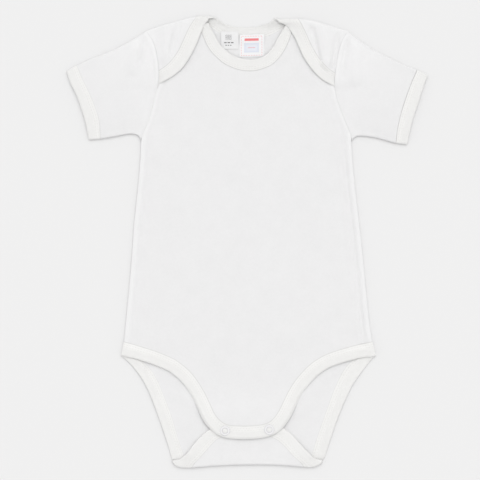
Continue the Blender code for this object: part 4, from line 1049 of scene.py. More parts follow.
class Band:
    """A binding laid along its stations.

    under(x, y) is the height of what it lies on, joined(x, y) that of the cloth that it is sewn to, and
    lift(x, y, part) what raises it off the first.
    """

    def __init__(self, layout, stations, under, joined, lift):
        self.layout = layout
        self.stations = stations
        self.under = under
        self.joined = joined
        self.lift = lift
        self.paces = [0.0]
        middles = [Vector(self.at(row, 0.5, False)) for row in range(len(stations))]
        for start, end in zip(middles, middles[1:]):
            self.paces.append(self.paces[-1] + (end - start).length)

    def at(self, row, part, inner):
        """Point of the band at a station, part of the way from its seam to its free edge."""
        thickness = self.layout.binding
        seam, edge, layer, angle, outward = self.stations[row]
        x, y = mix_points(seam, edge, mix(SEAM / math.dist(seam, edge), 1.0, part))
        if layer == 'upper' and outward == 1:
            x = min(max(x, body_edge(y)[0]), body_edge(y)[1])
        joint = ease(part, 0.42, 0.0)
        sewn_down = (self.layout.step - SEAM_STEP) * joint if inner else 0.0
        if layer == 'turn':
            line_y = shoulder_y(x) if outward == 1 else bottom_fold(x)[0]
            thin = band_thin(part) + self.pucker(row, x, line_y) + sewn_down
            top = self.under(x, line_y - 3.0 * outward) + thickness
            return turned_over(x, line_y, outward, angle, top, thickness, inner, thin)
        thin = band_thin(part) + self.pucker(row, x, y)
        if layer == 'floor':
            raised = leg_edge_lift(y, part) if outward == -1 else 0.0
            return x, y, raised + (thickness - thin - sewn_down if inner else 0.0)
        under = self.under(x, y) + self.lift(x, y, part)
        if inner:
            return x, y, under
        return x, y, mix(under + thickness - thin, self.joined(*seam) + SEAM_STEP, joint)

    def pucker(self, row, x, y):
        """How far slight cross puckers and the studs press the band down there."""
        along = self.paces[row] if row < len(self.paces) else 0.0
        slight = PUCKER * (1 + wave(along, 0.0, 5.0, 21.0)) + FINE_PUCKER * (1 + wave(along, 0.0, 2.4, 33.0))
        corner = swell((x, y), NECK_CORNER[side_of(x)], 20.0, 4.0)
        armhole = ease(side_inset(x, y), 6.0, 0.0) * ease(y, 150.0, 155.0)
        return (slight + CORNER_PUCKER * corner * (1 + math.sin(along * 1.35))
                + STUD_DENT * stud_press(x, y) + ARMHOLE_DENT * armhole)

    def point(self, column, row, inner):
        return self.at(row, BAND_SHARES[column], inner)

    def unrolled(self, column, row):
        return self.paces[row], BAND_SHARES[column] * BAND_WIDTH

    def doubled_and_groove_shade(self, column, _row):
        return band_paling_and_groove_shade(BAND_SHARES[column])


# ---------------------------------------------------------------- making meshes
def new_piece(name, work, look, node=None):
    """A piece of the bodysuit from a bmesh, riding on the body and standing for a node if one is named."""
    bmesh.ops.recalc_face_normals(work, faces=work.faces)
    mesh = bpy.data.meshes.new(name)
    work.to_mesh(mesh)
    work.free()
    mesh.shade_smooth()
    mesh.set_sharp_from_angle(angle=math.radians(CRISP_ANGLE))
    mesh.materials.append(look)
    piece = bpy.data.objects.new(name, mesh)
    bpy.context.scene.collection.objects.link(piece)
    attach(piece, "root")
    if node:
        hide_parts(node)
    return piece


def slab(columns, rows, closed, cut_away):
    """A slab of unit squares one unit thick, with a line of points round the middle of its edges."""
    work = bmesh.new()
    bmesh.ops.create_grid(work, x_segments=columns, y_segments=rows, size=0.5)
    bmesh.ops.translate(work, vec=(0.5, 0.5, 0.0), verts=work.verts)
    bmesh.ops.scale(work, vec=(columns, rows, 1.0), verts=work.verts)
    if cut_away:
        spare = [face for face in work.faces if cut_away(*face.calc_center_median().xy)]
        bmesh.ops.delete(work, geom=spare, context='FACES')
    bmesh.ops.solidify(work, geom=work.faces[:], thickness=1.0)
    if closed:
        ends = [face for face in work.faces if face.calc_center_median().x in (0.0, float(columns))]
        bmesh.ops.delete(work, geom=ends, context='FACES')
    through_wall = [edge for edge in work.edges if abs(edge.verts[0].co.z - edge.verts[1].co.z) > 0.5]
    bmesh.ops.subdivide_edges(work, edges=through_wall, cuts=1)
    return work


def round_rim(middles):
    """Draws in both sides of a wall along its edges, beside the line of points in the middle."""
    rim = set(middles)
    for vert in middles:
        for edge in vert.link_edges:
            side = edge.other_vert(vert)
            if side not in rim:
                side.co -= vert.normal * RIM * MM


def wall(columns, rows, place, unrolled, doubled_and_groove_shade, closed=False, cut_away=None):
    """A closed wall of cloth: a slab of squares whose points go where place(column, row, inner) says.

    unrolled(column, row) is the same point on the flat cloth, for the knit. The next argument, for the same
    column and row, is 1 where the turned-in edge of a seam makes the cloth lighter, and below 0 along a seam,
    where it paints the shade of the seam's groove. A closed wall's last column meets its first, as on a tube.
    cut_away(column, row) drops the squares that the cut leaves out.
    """
    work = slab(columns, rows, closed, cut_away)
    paling_and_groove_shade = work.verts.layers.float.new("doubled_and_groove_shade")
    flat = work.loops.layers.uv.new("cloth")
    for face in work.faces:
        for loop in face.loops:
            u, v = unrolled(round(loop.vert.co.x), round(loop.vert.co.y))
            depth = loop.vert.co.z
            loop[flat].uv = (u + depth) * MM, (v + depth) * MM
    middles = []
    for vert in work.verts:
        column, row, depth = round(vert.co.x), round(vert.co.y), -vert.co.z
        vert[paling_and_groove_shade] = doubled_and_groove_shade(column, row)
        if abs(depth - 0.5) < 0.1:
            middles.append(vert)
            sides = [Vector(place(column, row, inner)) for inner in (False, True)]
            vert.co = (sides[0] + sides[1]) / 2 * MM
        else:
            vert.co = Vector(place(column, row, depth > 0.5)) * MM
    bmesh.ops.recalc_face_normals(work, faces=work.faces)
    work.normal_update()
    round_rim(middles)
    if closed:
        bmesh.ops.remove_doubles(work, verts=work.verts, dist=0.01 * MM)
    return work


# ---------------------------------------------------------------- sleeves and cuffs
class Tube:
    """A flattened tube: a floor wall and an upper wall that turn into each other at both long edges.

    surface(along, down) gives its plan, along from the armhole to the cuff and down from the top fold to
    the underarm. under is the height of the upper wall's underside, relief what is added on its outside.
    """

    def __init__(self, side, surface, downs, alongs, thickness, under, relief, doubled_and_groove_shade, flare=0.0):
        self.side, self.surface, self.alongs, self.flare = side, surface, alongs, flare
        self.thickness, self.under, self.relief, self.doubled_and_groove_shade = thickness, under, relief, doubled_and_groove_shade
        turns = [math.pi * i / TUBE_FOLD_STEPS for i in range(1, TUBE_FOLD_STEPS)]
        self.ring = [(down, 0.0) for down in reversed(downs)] + [(0.0, angle) for angle in turns]
        self.ring += [(down, math.pi) for down in downs] + [(1.0, math.pi + angle) for angle in turns]
        self.ring.append(self.ring[0])
        middle = len(alongs) // 2
        ring = [Vector(self.point(column, middle, False)) for column in range(len(self.ring))]
        self.rounds = [0.0]
        for start, end in zip(ring, ring[1:]):
            self.rounds.append(self.rounds[-1] + (end - start).length)
        self.reach = math.dist(surface(0.0, 0.5), surface(1.0, 0.5))

    def point(self, column, row, inner):
        return self.at(column, self.alongs[row], inner)

    def at(self, column, along, inner):
        down, angle = self.ring[column]
        spine, turn_at = self.folds(along)
        plan = Vector(self.surface(along, down))
        plan -= spine * mix(turn_at[0.0], -turn_at[1.0], down)
        raised = 0.0 if inner else self.relief(along, down, *plan) * (1 - math.cos(angle)) / 2
        if angle == 0.0:
            return *plan, self.thickness if inner else 0.0
        if angle == math.pi:
            under = self.under(self.side, along, down, *plan)
            return *plan, under if inner else under + self.thickness + raised
        outer = turn_at[down]
        radius = outer - self.thickness if inner else outer
        plan += spine * radius * math.sin(angle)
        if down == 0.0:
            plan.x += self.side * self.flare * math.sin(angle) * soft(1 - along * 12)
        return *plan, outer - radius * math.cos(angle) + raised

    @lru_cache(maxsize=None)
    def folds(self, along):
        """Which way the tube is wide there, and half its height at the two folds."""
        ends = [self.surface(along, down) for down in (0.0, 1.0)]
        spine = Vector(ends[0]) - Vector(ends[1])
        turn_at = {down: (self.under(self.side, along, down, *end) + self.thickness) / 2
                   for down, end in zip((0.0, 1.0), ends)}
        return spine.normalized(), turn_at

    def unrolled(self, column, row):
        return self.rounds[column], self.alongs[row] * self.reach

    def make(self):
        return wall(len(self.ring) - 1, len(self.alongs) - 1, self.point, self.unrolled, self.doubled_and_groove_shade,
                    closed=True)


def armhole(side):
    """The armhole, from the shoulder tip (0) to the underarm (1), before the tube's folds draw it in."""
    column = 0 if side == LEFT else 1
    high, low = SLEEVE_TOP[side][0], SLEEVE_UNDER[side][0]

    def at(down):
        y = mix(high[1], low[1], down)
        inside = body_edge(y - mix(*SLEEVE_DRAW, down))[column] - side * SLEEVE_LAP
        near_top, near_low = ease(high[1] - y, 2.4, 0.0), ease(y - low[1], 3.0, 0.0)
        return inside + near_top * (high[0] - inside) + near_low * (low[0] - inside), y

    return at


def sleeve_downs(side):
    """How far down a sleeve its lengthwise lines start, the same as the panels' rows at the armhole."""
    high, low = SLEEVE_TOP[side][0][1], SLEEVE_UNDER[side][0][1]
    return [0.0, 0.012] + [(high - y) / (high - low) for y in reversed(ARM_ROWS)] + [0.985, 1.0]


def sleeve_tube(layout, side):
    """A sleeve, from its welt along the armhole to the cuff's seam."""
    def relief(along, down, _x, y):
        inset = along * SLEEVE_LENGTH
        by_flap = ease(y, 152.0, 162.0)
        welt = SLEEVE_WELT * by_flap * ease(inset, 5.2, 2.6)
        welt -= mix(0.25, 0.3, by_flap) * bump(inset - 7.5, 2.6)
        groove = mix(0.3, 0.1, by_flap) * ease(inset, 1.2, 0.0)
        return welt * soft(6 * down) * soft(6 * (1 - down)) - groove

    def doubled_and_groove_shade(column, row):
        down, angle = tube.ring[column]
        seam = seam_paling(tube.alongs[row] * SLEEVE_LENGTH, 3.0) * soft(4.6 - 9 * down)
        # The first two rows of the upper wall along the armhole get values below 0: painted shade of the
        # seam's groove.
        if angle == math.pi:
            return (-1.0, -0.2)[row] if row < 2 else mix(0.3, 0.7, seam)
        return 0.3

    surface = patch(armhole(side), route(CUFF_SEAM[side]), route(SLEEVE_TOP[side]),
                    route(SLEEVE_UNDER[side]))
    alongs = ([0.0, 0.009, 0.02, 0.034, 0.05, 0.068, 0.09, 0.115, 0.14] + evenly(26, 0.17, 0.97)
              + [0.985, 1.0])
    tube = Tube(side, surface, sleeve_downs(side), alongs, layout.cloth, layout.sleeve_under, relief, doubled_and_groove_shade,
                TIP_FLARE)
    return tube


def cuff_tube(layout, side):
    """A cuff, from its seam to its free edge."""
    seam, edge = route(CUFF_SEAM[side]), route(CUFF_EDGE[side])

    def surface(along, down):
        start, end = seam(down), edge(down)
        return mix_points(start, end, mix(SEAM / math.dist(start, end), 1.0, along))

    def under(_side, _along, down, _x, _y):
        return layout.cuff + GAP + CUFF_CROWN * soft(4 * down * (1 - down))

    def relief(along, down, _x, _y):
        sewn_down = 0.5 * ease(along, 0.2, 0.0)
        return -band_thin(along) - sewn_down - 0.08 * (1 + wave(down * 72.0, 4.0 * side, 6.0, 41.0))

    def doubled_and_groove_shade(_column, row):
        # Below 0 along the cuff's seam: painted shade of its groove, as on a binding.
        return band_paling_and_groove_shade(CUFF_SHARES[row])

    return Tube(side, surface, sleeve_downs(side), CUFF_SHARES, layout.cuff, under, relief, doubled_and_groove_shade)


# ---------------------------------------------------------------- stitches
def one_stitch():
    """A stitch one unit long and thick, along z."""
    work = bmesh.new()
    bmesh.ops.create_uvsphere(work, u_segments=6, v_segments=5, radius=0.5)
    mesh = bpy.data.meshes.new("stitch")
    work.to_mesh(mesh)
    work.free()
    return mesh


def stitch_line(work, sizes, points):
    """Sews along a line of points in millimetres, with one small round thread for each stitch."""
    pattern = one_stitch()
    paces = [0.0]
    for start, end in zip(points, points[1:]):
        paces.append(paces[-1] + (end - start).length)

    def at(pace):
        i = min(bisect.bisect_right(paces, pace), len(paces) - 1)
        return points[i - 1].lerp(points[i], (pace - paces[i - 1]) / max(paces[i] - paces[i - 1], 1e-6))

    stitch, thick = sizes.stitch_length / MM, sizes.thread / MM
    count = int((paces[-1] - stitch) / (sizes.stitch_pitch / MM))
    pitch = (paces[-1] - stitch) / max(count, 1)
    for i in range(count + 1):
        start, end = at(i * pitch), at(i * pitch + stitch)
        place = Matrix.Translation((start + end) / 2 * MM)
        place @= (end - start).to_track_quat('Z', 'Y').to_matrix().to_4x4()
        place @= Matrix.Diagonal((thick * MM, thick * MM, stitch * MM, 1.0))
        copy = pattern.copy()
        copy.transform(place)
        work.from_mesh(copy)
        bpy.data.meshes.remove(copy)
    bpy.data.meshes.remove(pattern)


def right_side(piece, count, part):
    """Line of a row of stitches over a binding's stations or a cuff's columns, kept above the floor."""
    line = [Vector(piece.at(i, part, False)) for i in range(count)]
    for point in line:
        point.z = max(point.z, STITCH_LOWEST)
    return line


def band_stitches(sizes, band):
    """The two rows of stitches on a binding: all along its right side, and inside where it faces up."""
    work = bmesh.new()
    for part in STITCH_SHARES:
        stitch_line(work, sizes, right_side(band, len(band.stations), part))
        line = []
        for row, station in enumerate(band.stations):
            if station.layer == 'floor':
                line.append(Vector(band.at(row, part, True)))
            if line and (station.layer != 'floor' or row == len(band.stations) - 1):
                stitch_line(work, sizes, line)
                line = []
    return work


def cuff_stitches(sizes, tube):
    """The two rows of stitches round a cuff."""
    work = bmesh.new()
    for part in STITCH_SHARES:
        stitch_line(work, sizes, right_side(tube, len(tube.ring), part))
    return work


# ---------------------------------------------------------------- materials
MIX_FIRST, MIX_SECOND, MIX_RESULT = 6, 7, 2     # where a Mix node has its colours
KNIT_TONES = (0.955, 1.03)      # of a knit's colour: painted shade in hollows and blotches, to its loops
DOUBLED_TONE = 1.055    # over a seam's turned-in edge
PAINTED_GROOVE_SHADE = 0.85      # painted shade in the groove along a seam


class Value:
    """A socket of a material, so that a pattern can be written as a sum."""

    def __init__(self, look, socket):
        self.look = look
        self.socket = socket

    def math(self, operation, first, *others):
        sockets = dict(enumerate((first, *others)))
        return self.look.node('ShaderNodeMath', {'operation': operation}, sockets)

    def __add__(self, other):
        return self.math('ADD', self, other)

    __radd__ = __add__

    def __sub__(self, other):
        return self.math('SUBTRACT', self, other)

    def __rsub__(self, other):
        return self.math('SUBTRACT', other, self)

    def __mul__(self, other):
        return self.math('MULTIPLY', self, other)

    __rmul__ = __mul__

    def __truediv__(self, other):
        return self.math('DIVIDE', self, other)

    def __abs__(self):
        return self.math('ABSOLUTE', self)

    def __gt__(self, other):
        return self.math('GREATER_THAN', self, other)

    def __lt__(self, other):
        return self.math('LESS_THAN', self, other)

    def sine(self):
        return self.math('SINE', self)

    def fraction(self):
        return self.math('FRACT', self)

    def between(self, low, high):
        return (self > low) * (self < high)


class Look:
    """A material under construction."""

    def __init__(self, name):
        self.material = bpy.data.materials.new(name)
        self.material.use_nodes = True
        self.tree = self.material.node_tree
        self.tree.nodes.clear()

    def node(self, kind, settings=None, sockets=None, output=0):
        """Adds any node: its settings first, then the values or links of its sockets. Gives one output."""
        made = self.tree.nodes.new(kind)
        for key, value in (settings or {}).items():
            setattr(made, key, value)
        for key, value in (sockets or {}).items():
            if isinstance(value, Value):
                self.tree.links.new(value.socket, made.inputs[key])
            else:
                made.inputs[key].default_value = value
        return Value(self, made.outputs[output])

    def split(self, vector):
        parts = self.node('ShaderNodeSeparateXYZ', sockets={0: vector})
        return [Value(self, socket) for socket in parts.socket.node.outputs]

    def place(self):
        return self.node('ShaderNodeTexCoord', output='Object')

    def flat_cloth(self):
        return self.node('ShaderNodeUVMap', {'uv_map': "cloth"})

    def grain(self, vector, size, detail=2.0, roughness=0.5):
        """Uneven grain of about that size in metres, from 0 to 1."""
        return self.node('ShaderNodeTexNoise', {'noise_dimensions': '3D'},
                         {'Vector': vector, 'Scale': 1 / size, 'Detail': detail, 'Roughness': roughness})

    def blend(self, factor, first, second):
        sockets = {0: factor, MIX_FIRST: colour_of(first), MIX_SECOND: colour_of(second)}
        return self.node('ShaderNodeMix', {'data_type': 'RGBA', 'clamp_factor': True}, sockets,
                         output=MIX_RESULT)

    def surface(self, base, roughness, height=None, depth=0.0, **constants):
        """Ends the material: what varies over the surface, a relief of that depth, and plain numbers."""
        sockets = {'Base Color': base, 'Roughness': roughness}
        if height is not None:
            sockets['Normal'] = self.node('ShaderNodeBump', sockets={'Height': height, 'Distance': depth,
                                                                     'Strength': 1.0})
        sockets.update({key.replace('_', ' '): value for key, value in constants.items()})
        shader = self.node('ShaderNodeBsdfPrincipled', sockets=sockets)
        end = self.tree.nodes.new('ShaderNodeOutputMaterial')
        self.tree.links.new(shader.socket, end.inputs['Surface'])
        return self.material


def colour_of(value):
    """A colour for a socket: a pattern as it is, and three channels with full alpha."""
    return value if isinstance(value, Value) else (*value[:3], 1.0)


def shade(colour, amount):
    """A colour made darker (below 1) or lighter (above 1)."""
    return tuple(min(channel * amount, 1.0) for channel in colour[:3])


def once(make):
    """A material is made the first time that it is asked for."""
    def made(scene, name, *extra):
        return bpy.data.materials.get(name) or make(scene, name, *extra)
    return made


@once
def knit(scene, name, colour, course):
    """Fine cotton knit: columns of slanting loops and fuzz, with painted shade in the hollows between
    the loops and in slight blotches, as where the cloth lies uneven.
    """
    look = Look(name)
    wale = scene.bodysuit_sizes.wale
    u, v, _ = look.split(look.flat_cloth())
    place = look.place()
    drift = look.grain(place, 0.006, 1.0) * 0.35
    slant = abs((u / wale + drift).fraction() - 0.5)
    leg = (slant * 2 * math.pi).sine()
    loop = ((v / (wale * course) + slant * 1.25 + drift) * 2 * math.pi).sine() * 0.5 + 0.5
    stitch = leg * (loop * 0.6 + 0.4)
    fuzz = look.grain(place, 0.0007, 3.0, 0.65)
    fleck = look.grain(place, 0.0026, 2.0)
    blotch = look.grain(place, 0.014, 3.0)
    # Painted shade, darker between the loops and in slight blotches, with the random grain of fuzz and
    # flecks.
    painted_shade_and_grain = stitch * 0.2 + fuzz * 0.35 + fleck * 0.5 + blotch * 0.55 - 0.3
    paling_and_groove_shade = look.node('ShaderNodeAttribute', {'attribute_name': "doubled_and_groove_shade"}, output='Fac')
    base = look.blend(painted_shade_and_grain, *(shade(colour, tone) for tone in KNIT_TONES))
    base = look.blend(paling_and_groove_shade * 0.6, base, shade(colour, DOUBLED_TONE))
    # Below 0 the attribute paints the shade of the groove along a seam.
    base = look.blend(0 - paling_and_groove_shade, base, shade(colour, PAINTED_GROOVE_SHADE))
    return look.surface(base, fuzz * 0.12 + blotch * 0.06 + 0.8, stitch + fuzz * 0.9, 0.00016,
                        Sheen_Weight=0.22, Sheen_Roughness=0.45, Specular_IOR_Level=0.25)


@once
def thread(scene, name):
    """Two-ply sewing thread, twisted; darker than the binding, as painted shade of the grooves it sinks into.
    """
    look = Look(name)
    place = look.place()
    x, y, _ = look.split(place)
    ply = ((x + y) * (2 * math.pi / 0.0006)).sine() * 0.5 + 0.5
    fuzz = look.grain(place, 0.0004, 2.0)
    colour = scene.bodysuit_colours.thread
    base = look.blend(ply * 0.5 + fuzz * 0.5, shade(colour, 0.9), shade(colour, 1.05))
    return look.surface(base, fuzz * 0.2 + 0.6, ply + fuzz, 0.00006, Sheen_Weight=0.15)


@once
def enamel(scene, name):
    """Painted press stud: glossy, with fine rubs, and greyer along its edges: lilac tint and painted shade.
    """
    look = Look(name)
    _, ring, _ = look.split(look.flat_cloth())
    place = look.place()
    # Darker towards both edges of the ring: lilac tint with painted shade where the ring meets the cloth.
    edge = (abs(ring - 0.5) - 0.35) * 7.0
    rub = look.grain(place, 0.0009, 3.0, 0.7)
    colours = scene.bodysuit_colours
    base = look.blend(edge + (rub - 0.5) * 0.5, colours.stud, colours.stud_edge)
    return look.surface(base, rub * 0.25 + 0.35, rub, 0.00002, Specular_IOR_Level=0.35, Coat_Weight=0.15,
                        Coat_Roughness=0.3)


@once
def stud_core(scene, name):
    """The hidden stud and socket: plain enamel over metal, rubbed where they snap."""
    look = Look(name)
    rub = look.grain(look.place(), 0.0008, 3.0, 0.7)
    colours = scene.bodysuit_colours
    return look.surface(look.blend(rub, colours.stud, colours.stud_edge), rub * 0.3 + 0.25, rub, 0.00003)


@once
def satin(scene, name, motif):
    """Woven satin label with a plain woven motif."""
    look = Look(name)
    u, v, _ = look.split(look.flat_cloth())
    u, v = u * 1000.0, v * 1000.0
    colours = scene.bodysuit_colours
    yarn = (v * (2 * math.pi / 0.28)).sine() * 0.5 + 0.5
    warp = (u * (2 * math.pi / 0.36)).sine() * 0.5 + 0.5
    grain = look.grain(look.place(), 0.0012, 2.0)
    base = look.blend(yarn * 0.4 + grain * 0.6, shade(colours.label, 0.95), shade(colours.label, 1.02))
    base = motif(look, u, v, base, colours)
    return look.surface(base, yarn * 0.15 + grain * 0.1 + 0.42, yarn * 0.7 + warp * 0.3, 0.00008,
                        Sheen_Weight=0.1)


# A motif's places are in millimetres from its label's lower left corner.
def small_marks(look, u, v, base, colours):
    """A thin label that the cloth shows through, with a block of dots and two broken lines below it."""
    base = look.blend(0.85, base, shade(colours.body, 0.965))
    frayed = look.grain(look.place(), 0.0005, 1.0) * 0.3
    block = u.between(4.6, 11.0) * v.between(9.4, 14.6)
    dots = (((u / 1.28).fraction() - 0.5) * ((v / 1.3).fraction() - 0.5)) > 0.02
    first = v.between(6.3, 7.3) * u.between(3.0, 13.0) * ((u / 3.4).fraction() < 0.72)
    second = v.between(3.8, 4.6) * u.between(4.6, 11.4) * ((u / 2.3).fraction() < 0.62)
    marks = block * dots + first + second
    return look.blend(marks * (0.95 - frayed), base, colours.ink)


def square_motif(look, u, v, base, colours):
    """A broken border, a bar near the top and a pale field below it."""
    inside = u.between(2.1, 22.1) * v.between(2.1, 20.5)
    border = (1 - inside) * u.between(1.5, 22.7) * v.between(1.5, 21.1)
    broken = ((u + v) / 2.6).fraction() < 0.66
    bar = u.between(5.0, 19.2) * v.between(16.2, 18.6)
    field = u.between(4.6, 19.6) * v.between(4.6, 14.2)
    inner = u.between(7.0, 17.2) * v.between(6.4, 12.4)
    line = u.between(8.4, 15.8) * v.between(9.1, 9.8)
    grain = look.grain(look.place(), 0.0007, 1.0) * 0.25
    base = look.blend(field * 0.75, base, colours.blue)
    base = look.blend(inner * 0.3, base, colours.label)
    base = look.blend(border * broken * (0.55 - grain), base, colours.red)
    base = look.blend(line * (0.6 - grain), base, colours.red)
    return look.blend(bar * (0.95 - grain), base, colours.red)


@once
def paper_floor(scene, name):
    """Matt pale floor with the faintest tooth."""
    look = Look(name)
    tooth = look.grain(look.place(), 0.003, 3.0)
    colour = scene.bodysuit_stage.floor
    base = look.blend(tooth, shade(colour, 0.995), shade(colour, 1.005))
    return look.surface(base, tooth * 0.05 + 0.9, Specular_IOR_Level=0.2)


def jersey(scene):
    """Cloth of the panels and sleeves."""
    return knit(scene, "cotton_jersey", scene.bodysuit_colours.body, 0.72)


def rib(scene):
    """Cloth of the bindings and cuffs."""
    return knit(scene, "cotton_rib", scene.bodysuit_colours.binding, 0.8)


# ---------------------------------------------------------------- operators
class BODYSUIT_OT_back_panel(bpy.types.Operator):
    """Back, shoulder flaps and turned-up crotch tab, cut from one piece"""

    bl_idname = "bodysuit.back_panel"
    bl_label = "Back Panel"

    def execute(self, context):
        layout = Layout(context.scene.bodysuit_sizes)

        def neck_opening(column, row):
            return row > NECK_ROW and in_neckline(column)

        work = wall(COLUMNS, len(BACK_ROWS) - 1, layout.back_point, layout.back_unrolled,
                    layout.back_doubled, cut_away=neck_opening)
        piece = new_piece("back_panel_jersey", work, jersey(context.scene), "back_panel")
        return {'FINISHED'}


class BODYSUIT_OT_front_panel(bpy.types.Operator):
    """Chest and front crotch tab, cut from one piece"""

    bl_idname = "bodysuit.front_panel"
    bl_label = "Front Panel"

    def execute(self, context):
        layout = Layout(context.scene.bodysuit_sizes)
        work = wall(COLUMNS, len(FRONT_ROWS) - 1, layout.front_point, layout.front_plan, layout.front_doubled)
        piece = new_piece("front_panel_jersey", work, jersey(context.scene), "front_panel")
        return {'FINISHED'}


class BODYSUIT_OT_sleeves(bpy.types.Operator):
    """Two short sleeves, folded at the top and sewn along the underarm"""

    bl_idname = "bodysuit.sleeves"
    bl_label = "Sleeves"

    def execute(self, context):
        layout = Layout(context.scene.bodysuit_sizes)
        for side, word in SIDES:
            work = sleeve_tube(layout, side).make()
            node = "sleeve_" + word
            piece = new_piece(node + "_jersey", work, jersey(context.scene), node)
        return {'FINISHED'}


class BODYSUIT_OT_cuffs(bpy.types.Operator):
    """Folded bands round the sleeve ends, with their stitches"""

    bl_idname = "bodysuit.cuffs"
    bl_label = "Cuffs"

    def execute(self, context):
        sizes = context.scene.bodysuit_sizes
        layout = Layout(sizes)
        for side, word in SIDES:
            tube = cuff_tube(layout, side)
            node = "cuff_" + word
            piece = new_piece(node + "_rib", tube.make(), rib(context.scene), node)
            sewing = new_piece("stitches_" + node, cuff_stitches(sizes, tube),
                               thread(context.scene, "sewing_thread"))
        return {'FINISHED'}


class BODYSUIT_OT_bindings(bpy.types.Operator):
    """Bands along the neck and leg edges, with their stitches"""

    bl_idname = "bodysuit.bindings"
    bl_label = "Bindings"

    def execute(self, context):
        sizes = context.scene.bodysuit_sizes
        layout = Layout(sizes)
        bands = (
            ("neck_binding_front", layout.front_neck_stations(), layout.front_neck_under, layout.front_top,
             flat_lift, (0.0114, 0.134), "laid", ["front_panel"]),
            ("neck_binding_back", layout.back_neck_stations(), layout.flap_band_under, layout.flap_top,
             flap_lift, (0.0125, 0.28), "folded", ["floor", "neck_binding_front"]),
            ("leg_binding_front", layout.front_leg_stations(), layout.front_leg_under, layout.front_top,
             crotch_lift, (0.0135, 0.36), "laid", ["front_panel"]),
            ("leg_binding_back", layout.back_leg_stations(), layout.tab_band_under, layout.tab_top,
             flat_lift, (0.0135, 0.46), "folded", ["floor", "back_panel"]),
        )
        for node, stations, under, joined, lift, flat, held, rests_on in bands:
            band = Band(layout, stations, under, joined, lift)
            work = wall(len(BAND_SHARES) - 1, len(stations) - 1, band.point, band.unrolled, band.doubled_and_groove_shade)
            piece = new_piece(node + "_rib", work, rib(context.scene), node)
            sewing = new_piece("stitches_" + node, band_stitches(sizes, band),
                               thread(context.scene, "sewing_thread"))
            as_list(rests_on)
        return {'FINISHED'}


class BODYSUIT_OT_studs(bpy.types.Operator):
    """Press studs: a ring on the front tab for each, cloth in its middle, and the closed pair below"""

    bl_idname = "bodysuit.studs"
    bl_label = "Press Studs"

    def execute(self, context):
        layout = Layout(context.scene.bodysuit_sizes)
        for side, word in SIDES:
            x, y = STUD_PLACES[side]
            seat = layout.front_leg_under(x, y) + layout.binding
            self.ring(context, word, Vector((x, y, seat + RING_SEAT)))
            self.middle(context, word, Vector((x, y, seat + MIDDLE_SEAT)))
            pair = bpy.data.objects["stud_pair_" + word]
            pair.material_slots[0].material = stud_core(context.scene, "stud_core")
        return {'FINISHED'}

    def ring(self, context, word, centre):
        """A flat rounded ring, open in the middle."""
        width, middle = CAP_RADIUS - RING_HOLE, (CAP_RADIUS + RING_HOLE) / 2
        work = bmesh.new()
        bmesh.ops.create_circle(work, segments=RING_SIDES, radius=1.0)
        bmesh.ops.rotate(work, verts=work.verts, matrix=Matrix.Rotation(math.pi / 2, 3, 'X'))
        bmesh.ops.scale(work, verts=work.verts, vec=(width / 2 * MM, 1.0, CAP_HEIGHT / 2 * MM))
        bmesh.ops.translate(work, verts=work.verts, vec=(middle * MM, 0.0, 0.0))
        bmesh.ops.spin(work, geom=work.verts[:] + work.edges[:], cent=(0, 0, 0), axis=(0, 0, 1),
                       dvec=(0, 0, 0), angle=2 * math.pi, steps=RING_STEPS, use_merge=True,
                       use_duplicate=False)
        flat = work.loops.layers.uv.new("cloth")
        for face in work.faces:
            for loop in face.loops:
                spoke = loop.vert.co.xy.length / MM
                loop[flat].uv = (0.0, (spoke - RING_HOLE) / width)
        bmesh.ops.translate(work, verts=work.verts, vec=centre * MM)
        new_piece("stud_ring_" + word, work, enamel(context.scene, "stud_enamel"),
                  "stud_cap_" + word)

    def middle(self, context, word, centre):
        """Cloth that swells up in the ring, gathered by its prongs."""
        work = bmesh.new()
        bmesh.ops.create_uvsphere(work, u_segments=40, v_segments=16, radius=1.0)
        flat = work.loops.layers.uv.new("cloth")
        for face in work.faces:
            for loop in face.loops:
                loop[flat].uv = [axis * MIDDLE_CLOTH * MM for axis in loop.vert.co.xy]
        for vert in work.verts:
            gather = math.cos(MIDDLE_GATHERS * math.atan2(vert.co.y, vert.co.x))
            reach = MIDDLE_RADIUS * (1 + 0.05 * gather * vert.co.xy.length)
            rise = MIDDLE_HEIGHT - 0.14 * vert.co.xy.length * (1 + gather) / 2
            vert.co = Vector((vert.co.x * reach, vert.co.y * reach, vert.co.z * rise)) * MM
        bmesh.ops.translate(work, verts=work.verts, vec=centre * MM)
        new_piece("stud_middle_" + word, work, rib(context.scene))


class BODYSUIT_OT_labels(bpy.types.Operator):
    """Two woven labels in the back neck, with plain marks"""

    bl_idname = "bodysuit.labels"
    bl_label = "Labels"

    def execute(self, context):
        layout = Layout(context.scene.bodysuit_sizes)
        for node, outline, motif, tilt in (("label_small", LABEL_SMALL, small_marks, 0.0),
                                           ("label_square", LABEL_SQUARE, square_motif, SQUARE_TILT)):
            self.make(context, layout, node, outline, motif, tilt)
        return {'FINISHED'}

    def make(self, context, layout, node, outline, motif, tilt):
        left, right, bottom, top = outline

        def place(column, row, inner):
            x = mix(left, right, column / LABEL_SQUARES)
            y = mix(bottom, top, row / LABEL_SQUARES) + tilt * (x - (left + right) / 2)
            inset = min(x - left, right - x, y - bottom, top - y)
            under = layout.cloth + LABEL_GAP + layout.step * ease(y, 196.0, 203.0)
            under += 0.05 * (1 + wave(x, y, 9.0, 51.0))
            hem = 0.06 * bump(inset - 1.0, 0.7) - 0.1 * ease(inset, 0.6, 0.0)
            return x, y, under if inner else under + LABEL_WALL + hem

        def unrolled(column, row):
            return (right - left) * column / LABEL_SQUARES, (top - bottom) * row / LABEL_SQUARES

        work = wall(LABEL_SQUARES, LABEL_SQUARES, place, unrolled, single)
        piece = new_piece(node + "_satin", work, satin(context.scene, node + "_satin", motif),
                          node)


